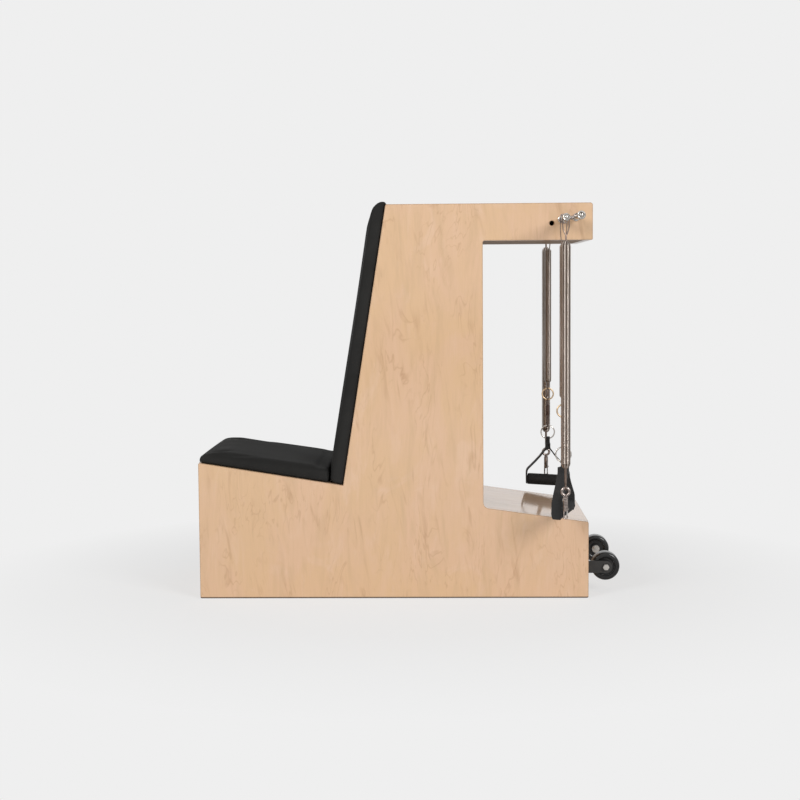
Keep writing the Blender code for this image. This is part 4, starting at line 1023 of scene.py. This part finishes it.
class ARMCHAIR_OT_springs(bpy.types.Operator):
    """Makes both long springs and both short springs with their hooks and rods"""

    bl_idname = "armchair.springs"
    bl_label = "Springs"

    def execute(self, context):
        sizes = context.scene.arm_chair_sizes
        for side, _ in SIDES:
            self.long_one(side, sizes.long_coil_wire)
            self.short_one(side, sizes.short_coil_wire)
        return {"FINISHED"}

    def long_one(self, side, coil_wire):
        pivot = Vector(JOINTS[f"{side}_long_swing"]["pos_m"])
        low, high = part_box(f"{side}_long_spring_coil")
        bar = JOINTS[f"{side}_long_link"]["pos_m"][2]
        loop = top_loop(pivot, 0.0393, 0.0, 0.0014, 2.2)
        stem = upright([(0, 0.0006), (0.0015, 0), (0.0022, -0.003), (0.0022, -0.024),
                        (0.0065, -0.0245), (0.0065, -0.026), (0, -0.026)], pivot, 20, 0.8150)
        steel = coil(pivot, high.z, low.z, 0.0108, coil_wire, (0.0116, 0.0037), (0.0115, 0.0042))
        radius, slack = 0.0048, 0.0032
        eye = eye_below(pivot.x, pivot.y, bar, radius, slack, 0.0015)
        foot = bar + radius * 2 + slack - 0.0007
        shank = hung_rod(pivot, low.z + 0.017, 0.0065, 0.0027, foot,
                         (0.0027, 0.0045), (0.0024, 0.003), (0.0020, 0.0005))
        self.hang(side, "long", pivot, joined(loop, stem), steel, joined(eye, shank))

    def short_one(self, side, coil_wire):
        pivot = Vector(JOINTS[f"{side}_short_swing"]["pos_m"])
        low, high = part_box(f"{side}_short_spring_coil")
        bar = JOINTS[f"{side}_tan_ring_swing"]["pos_m"][2]
        neck = high.z - 0.006
        loop = top_loop(pivot, pivot.z - neck, 0.0034, 0.0012, 1.3)
        disc = upright([(0, 0.001), (0.0044, 0.001), (0.0044, -0.001), (0, -0.001)], pivot, 24,
                       neck)
        steel = coil(pivot, high.z, low.z, 0.0090, coil_wire, (0.0060, 0.0050), (0.0070, 0.0036))
        radius, slack = 0.0036, 0.0026
        eye = eye_below(pivot.x, pivot.y, bar, radius, slack, 0.0013)
        foot = bar + radius * 2 + slack - 0.0006
        shank = hung_rod(pivot, low.z + 0.0112, 0.0044, 0.0022, foot,
                         (0.0022, 0.003), (0.0018, 0.0005))
        tail_end = 0.4236
        tail = upright([(0, bar), (0.0018, bar - 0.0004), (0.0022, bar - 0.0016),
                        (0.0022, tail_end + 0.0006), (0.0017, tail_end), (0, tail_end)], pivot, 20)
        self.hang(side, "short", pivot, joined(loop, disc), steel, joined(eye, shank, tail))

    @staticmethod
    def hang(side, kind, pivot, hook, steel, rod):
        """Settles a spring's pieces. Its coil has its place baked in, and hangs on neither body."""
        spring, lower = f"{side}_{kind}_spring", f"{side}_{kind}_rod"
        (low, high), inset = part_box(f"{spring}_coil"), 0.012
        ends = [(pivot.x, pivot.y, height) for height in (high.z - inset, low.z + inset)]
        bent, coiled = paints()["wire"], paints()["spring"]
        settle(hook, f"{side}_{kind}_hook", spring, f"{spring}_hook", bent)
        settle(steel, f"{side}_{kind}_coil", spring, f"{spring}_coil", coiled, 60,
               (lower, *ends))
        settle(rod, lower, lower, f"{spring}_rod", bent)


# Snaps and rings


def snap_parts(x, y, eye, foot, top, barrel_length, drop, across):
    """An eye on a swivel neck, a slotted barrel with its hook, and the sliding bolt."""
    neck_foot = top + 0.0003
    reach = foot - neck_foot
    neck = lathe([(0, reach), (0.0015, reach - 0.0002), (0.0018, 0.0031), (0.0030, 0.0016),
                  (0.0035, 0.0013), (0.0035, 0.0004), (0.0030, 0.0001), (0.0015, 0),
                  (0.0015, -0.0030), (0.0025, -0.0030), (0.0025, -0.0044), (0, -0.0044)],
                 UP, (x, y, neck_foot), 24)
    eye = joined(eye, neck)
    barrel = lathe([(0, -0.0048), (0.0028, -0.0048), (0.0028, -0.0025), (0.0018, -0.0025),
                    (0.0018, 0), (0.0040, 0), (0.0047, -0.0003), (0.0052, -0.0010),
                    (0.0052, -0.0034), (0.0048, -0.0037), (0.0048, -0.0043),
                    (0.0052, -0.0046), (0.0052, 0.0012 - barrel_length),
                    (0.0047, 0.0004 - barrel_length), (0.0040, -barrel_length),
                    (0, -barrel_length)], UP, (x, y, top), 32)
    bend_radius, hook_wire = 0.0036, 0.0017
    base = Vector((x, y, top - barrel_length))
    bend, side = base - drop * UP, bend_radius * across
    hook = wire([base - side + 0.0034 * UP, base - side,
                 *arc(bend, bend_radius, across, UP, 180, 180, 12),
                 bend + side + 0.0017 * UP], hook_wire, smooth=2, sides=4)
    line = base + 0.0033 * across
    slot_middle = line + 0.003 * across + 0.0080 * UP
    deselect()
    bpy.ops.mesh.primitive_cube_add(size=1, location=slot_middle)
    slot = placed()
    edit(slot)
    bpy.ops.transform.resize(
        value=(0.0026 + 0.0054 * abs(across.x), 0.0026 + 0.0054 * abs(across.y), 0.0094),
        center_override=slot_middle)
    leave()
    bore = lathe([(0, -0.001), (0.0016, -0.001), (0.0016, 0.0172), (0, 0.0172)], UP, line, 20)
    for tool in (bore, slot):
        modified(barrel, "BOOLEAN", operation="DIFFERENCE", solver="EXACT", object=tool)
        bpy.data.objects.remove(tool)
    barrel = joined(barrel, hook)
    head, tip = line.z + 0.010, bend.z + 0.0020
    bolt = lathe([(0, head), (0.0011, head), (0.0014, head - 0.0003), (0.0014, tip + 0.0004),
                  (0.0011, tip), (0, tip)], UP, (line.x, line.y, 0), 20)
    stud = lathe([(0, 0.0036), (0.0013, 0.0035), (0.0018, 0.0031), (0.0018, 0.0026),
                  (0.0010, 0.0024), (0.0010, 0), (0, 0)], across, line + 0.0045 * UP, 20)
    return eye, barrel, joined(bolt, stud)


class ARMCHAIR_OT_snaps(bpy.types.Operator):
    """Makes the swivel snaps and the rings on the springs"""

    bl_idname = "armchair.snaps"
    bl_label = "Snaps and rings"

    def execute(self, context):
        for side, _ in SIDES:
            middle = Vector(JOINTS[f"{side}_long_link"]["pos_m"])
            middle.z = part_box(f"{side}_long_snap_eye")[1].z - 0.0112
            parts = snap_parts(middle.x, middle.y, ring_of(middle, 0.0082, 0.0030, 48),
                               middle.z - 0.0080, middle.z - 0.0118, 0.031, 0.0127, REARWARD)
            self.hang(side, "long", parts, "snap", "spring_steel")
            link = Vector(JOINTS[f"{side}_short_link"]["pos_m"])
            low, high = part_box(f"{side}_short_snap_body")
            eye_foot, barrel_top, barrel_length = 0.4102, 0.4019, 0.026
            drop = (high.z - barrel_length) - (low.z + 0.0036 + 0.0017)
            eye = eye_below(link.x, link.y, link.z - 0.0068, 0.0036, 0.0030, 0.0013)
            parts = snap_parts(link.x, link.y, eye, eye_foot, barrel_top, barrel_length, drop,
                               SITTERS_RIGHT)
            self.hang(side, "short", parts, "dark", "dark_steel")
            for ring, radius, thickness, paint, slot in (
                    ("tan_ring", 0.0140, 0.00175, "brass", "brass_ring"),
                    ("handle_ring", 0.0169, 0.0015, "chrome", "chrome_steel")):
                node = f"{side}_{ring}"
                made = ring_of(middle_of(node), radius, thickness)
                settle(made, f"{node}_wire", node, node, paints()[paint])
        return {"FINISHED"}

    @staticmethod
    def hang(side, kind, parts, paint, slot):
        bolt = ("bolt", "bolt", "chrome", "chrome_steel")
        rows = (("eye", "eye", paint, slot), ("body", "snap", paint, slot), bolt)
        for piece, (part, owner, finish, metal_slot) in zip(parts, rows):
            settle(piece, f"{side}_{kind}_clip_{part}", f"{side}_{kind}_{owner}",
                   f"{side}_{kind}_snap_{part}", paints()[finish])


# Handles


def smooth_route(points, steps):
    """More points on a smooth line through the given ones."""
    points = [np.array(point, float) for point in points]
    padded = [2 * points[0] - points[1]] + points + [2 * points[-1] - points[-2]]
    route = []
    for index in range(len(points) - 1):
        a, b, c, d = padded[index:index + 4]
        for step in range(steps):
            t = step / steps
            route.append(0.5 * ((2 * b) + (c - a) * t + (2 * a - 5 * b + 4 * c - d) * t ** 2
                                + (3 * b - a - 3 * c + d) * t ** 3))
    return route + [points[-1]]


def band(stations, across, thickness):
    """Webbing: a strip pulled from station to station, each a place and a width."""
    deselect()
    place, width = stations[0]
    bpy.ops.mesh.primitive_plane_add(size=0.001, location=place)
    strip = placed()
    edit(strip)
    bpy.ops.mesh.merge(type="CENTER")
    bpy.ops.transform.translate(value=-across * width / 2)
    bpy.ops.mesh.extrude_region_move(TRANSFORM_OT_translate={"value": across * width})
    bpy.ops.mesh.select_all(action="SELECT")
    here = Vector(place)
    for place, wide in stations[1:]:
        step = Vector(place) - here
        bpy.ops.mesh.extrude_region_move(TRANSFORM_OT_translate={"value": step})
        here = Vector(place)
        if abs(wide - width) > 1e-6:
            turn = across.to_track_quat("X", "Z").to_matrix()
            bpy.ops.transform.resize(value=(wide / width, 1, 1), orient_matrix=turn.transposed(),
                                     orient_type="GLOBAL", orient_matrix_type="GLOBAL",
                                     center_override=here)
            width = wide
    leave()
    closed_up(strip, 1e-7)
    modified(strip, "SOLIDIFY", thickness=thickness, offset=0, use_even_offset=True)
    softened(strip, thickness * 0.22)
    return closed_up(strip, 1e-7)


class ARMCHAIR_OT_handles(bpy.types.Operator):
    """Makes the webbing straps and the foam grips of both handles"""

    bl_idname = "armchair.handles"
    bl_label = "Handles"

    def execute(self, context):
        for side, _ in SIDES:
            joint = JOINTS[f"{side}_grip_spin"]
            centre, axis = Vector(joint["pos_m"]), Vector(joint["axis"])
            hang = Vector(JOINTS[f"{side}_handle_swing"]["pos_m"])
            settle(self.strap(centre, axis, hang), f"{side}_webbing", f"{side}_strap",
                   f"{side}_handle_strap", paints()["webbing"], 45)
            radius, half, rounding = 0.014, 0.05175, 0.003
            profile = [(0.0046, half), (0.0062, half),
                       *corner(radius - rounding, half - rounding, rounding, rounding)]
            grip = lathe(both_ends(profile, (radius + 0.0002, 0)), axis, centre, 56, bore=True)
            settle(grip, f"{side}_grip_foam", f"{side}_grip",
                   f"{side}_handle_grip", paints()["foam"], 40)
        return {"FINISHED"}

    def strap(self, centre, axis, hang):
        """Two webbing arms from the stitched neck down to the core inside the grip."""
        level = Vector((axis.x, axis.y, 0)).normalized()
        across = Vector((-level.y, level.x, 0))
        slope = -axis.z / math.hypot(axis.x, axis.y)
        width, thick = 0.0235, 0.0032
        top = hang.z - 0.0233 - centre.z
        half, start = 0.0539, 0.0044
        flare = ((0.14, 0.88), (0.31, 0.745), (0.54, 0.585), (0.79, 0.425), (0.955, 0.31))
        route = [(start, top + 0.012), (start, top + 0.004), (start + 0.001, top - 0.002),
                 *((start + (half - start) * out, down * top) for out, down in flare),
                 *((half, down * top) for down in (0.20, 0.0, -0.10, -0.150))]
        pieces = []
        for sign in (-1, 1):
            stations = []
            for reach, height in smooth_route(route, 4):
                reach, height = float(reach), float(height)
                drop = sign * reach * slope * min(1, max(0, (top - height) / top))
                place = centre + sign * reach * level + (height - drop) * UP
                past_grip = -0.02 - height / top
                wide = width if past_grip < 0 else width - 0.0085 * min(1, past_grip / 0.13) ** 2
                stations.append((place, wide))
            pieces.append(band(stations, across, thick))
        pieces.append(self.stem(centre, level, across, top, hang))
        bore, end, edge = 0.0028, 0.0050, 0.0006
        outside = bore + thick
        middle = hang + (0.0015 + 0.0008 - bore) * UP
        pieces.append(lathe([(bore, end), (bore, -end), (outside - 0.0005, -end),
                             (outside, edge - end), (outside, end - edge),
                             (outside - 0.0005, end)], REARWARD, middle, 32, bore=True))
        pieces.append(lathe([(0, half), (0.0042, half), (0.0042, -half), (0, -half)],
                            axis, centre, 24))
        return joined(*pieces)

    @staticmethod
    def stem(centre, level, across, top, hang):
        """The stitched neck between the ring and the fork, which turns as it goes down."""
        crosswise = abs(across.x) > abs(level.x)
        flat = across if crosswise else level
        turn = math.atan2(flat.y, flat.x)
        turn = (turn + math.pi / 2) % math.pi - math.pi / 2
        first, last = (0.0100, 0.0090), (0.0241, 0.0122) if crosswise else (0.0122, 0.0241)
        high, low = hang.z - 0.0042, centre.z + top - 0.003
        head = (hang.x, hang.y, high)
        deselect()
        bpy.ops.mesh.primitive_plane_add(size=1, location=head)
        made = placed()
        edit(made)
        bpy.ops.transform.resize(value=(*first, 1), center_override=head)
        before, steps = first, 8
        for step in range(1, steps + 1):
            share = step / steps
            ease = share * share * (3 - 2 * share)
            size = [small + (large - small) * ease for small, large in zip(first, last)]
            bpy.ops.mesh.extrude_region_move(
                TRANSFORM_OT_translate={"value": (0, 0, (low - high) / steps)})
            bpy.ops.transform.resize(value=(size[0] / before[0], size[1] / before[1], 1),
                                     center_override=(hang.x, hang.y, high + (low - high) * share))
            before = size
        leave()
        for vertex in made.data.vertices:
            share = (high - vertex.co.z) / (high - low)
            spot = Matrix.Rotation(turn * share, 3, "Z") @ Vector(
                (vertex.co.x - hang.x, vertex.co.y - hang.y, 0))
            vertex.co.x, vertex.co.y = hang.x + spot.x, hang.y + spot.y
        closed_up(made, 1e-7)
        return softened(made, 0.0009)


# Panel and registration


class ARMCHAIR_PT_sidebar(bpy.types.Panel):
    """Lists the steps that build the chair"""

    bl_idname = "ARMCHAIR_PT_sidebar"
    bl_label = "Arm Chair"
    bl_space_type = "VIEW_3D"
    bl_region_type = "UI"
    bl_category = "Arm Chair"

    def draw(self, context):
        for operator in OPERATORS:
            self.layout.operator(operator.bl_idname)
        for name in GROUPS:
            group, box = getattr(context.scene, name), self.layout.box()
            for key in group.bl_rna.properties.keys():
                if key not in ("rna_type", "name"):
                    box.prop(group, key)


GROUPS = {"arm_chair_looks": ArmChairLooks, "arm_chair_sizes": ArmChairSizes,
          "arm_chair_stage": ArmChairStage}
OPERATORS = (ARMCHAIR_OT_stage, ARMCHAIR_OT_panels, ARMCHAIR_OT_wheels, ARMCHAIR_OT_posts,
             ARMCHAIR_OT_springs, ARMCHAIR_OT_snaps, ARMCHAIR_OT_handles, ARMCHAIR_OT_pads)
CLASSES = (*GROUPS.values(), *OPERATORS, ARMCHAIR_PT_sidebar)


def register():
    for item in CLASSES:
        bpy.utils.register_class(item)
    for name, group in GROUPS.items():
        setattr(bpy.types.Scene, name, PointerProperty(type=group))


def unregister():
    for name in GROUPS:
        delattr(bpy.types.Scene, name)
    for item in reversed(CLASSES):
        bpy.utils.unregister_class(item)


def main():
    register()
    for operator in OPERATORS:
        group, name = operator.bl_idname.split(".")
        getattr(getattr(bpy.ops, group), name)()
    deselect()


if __name__ == "__main__":
    main()
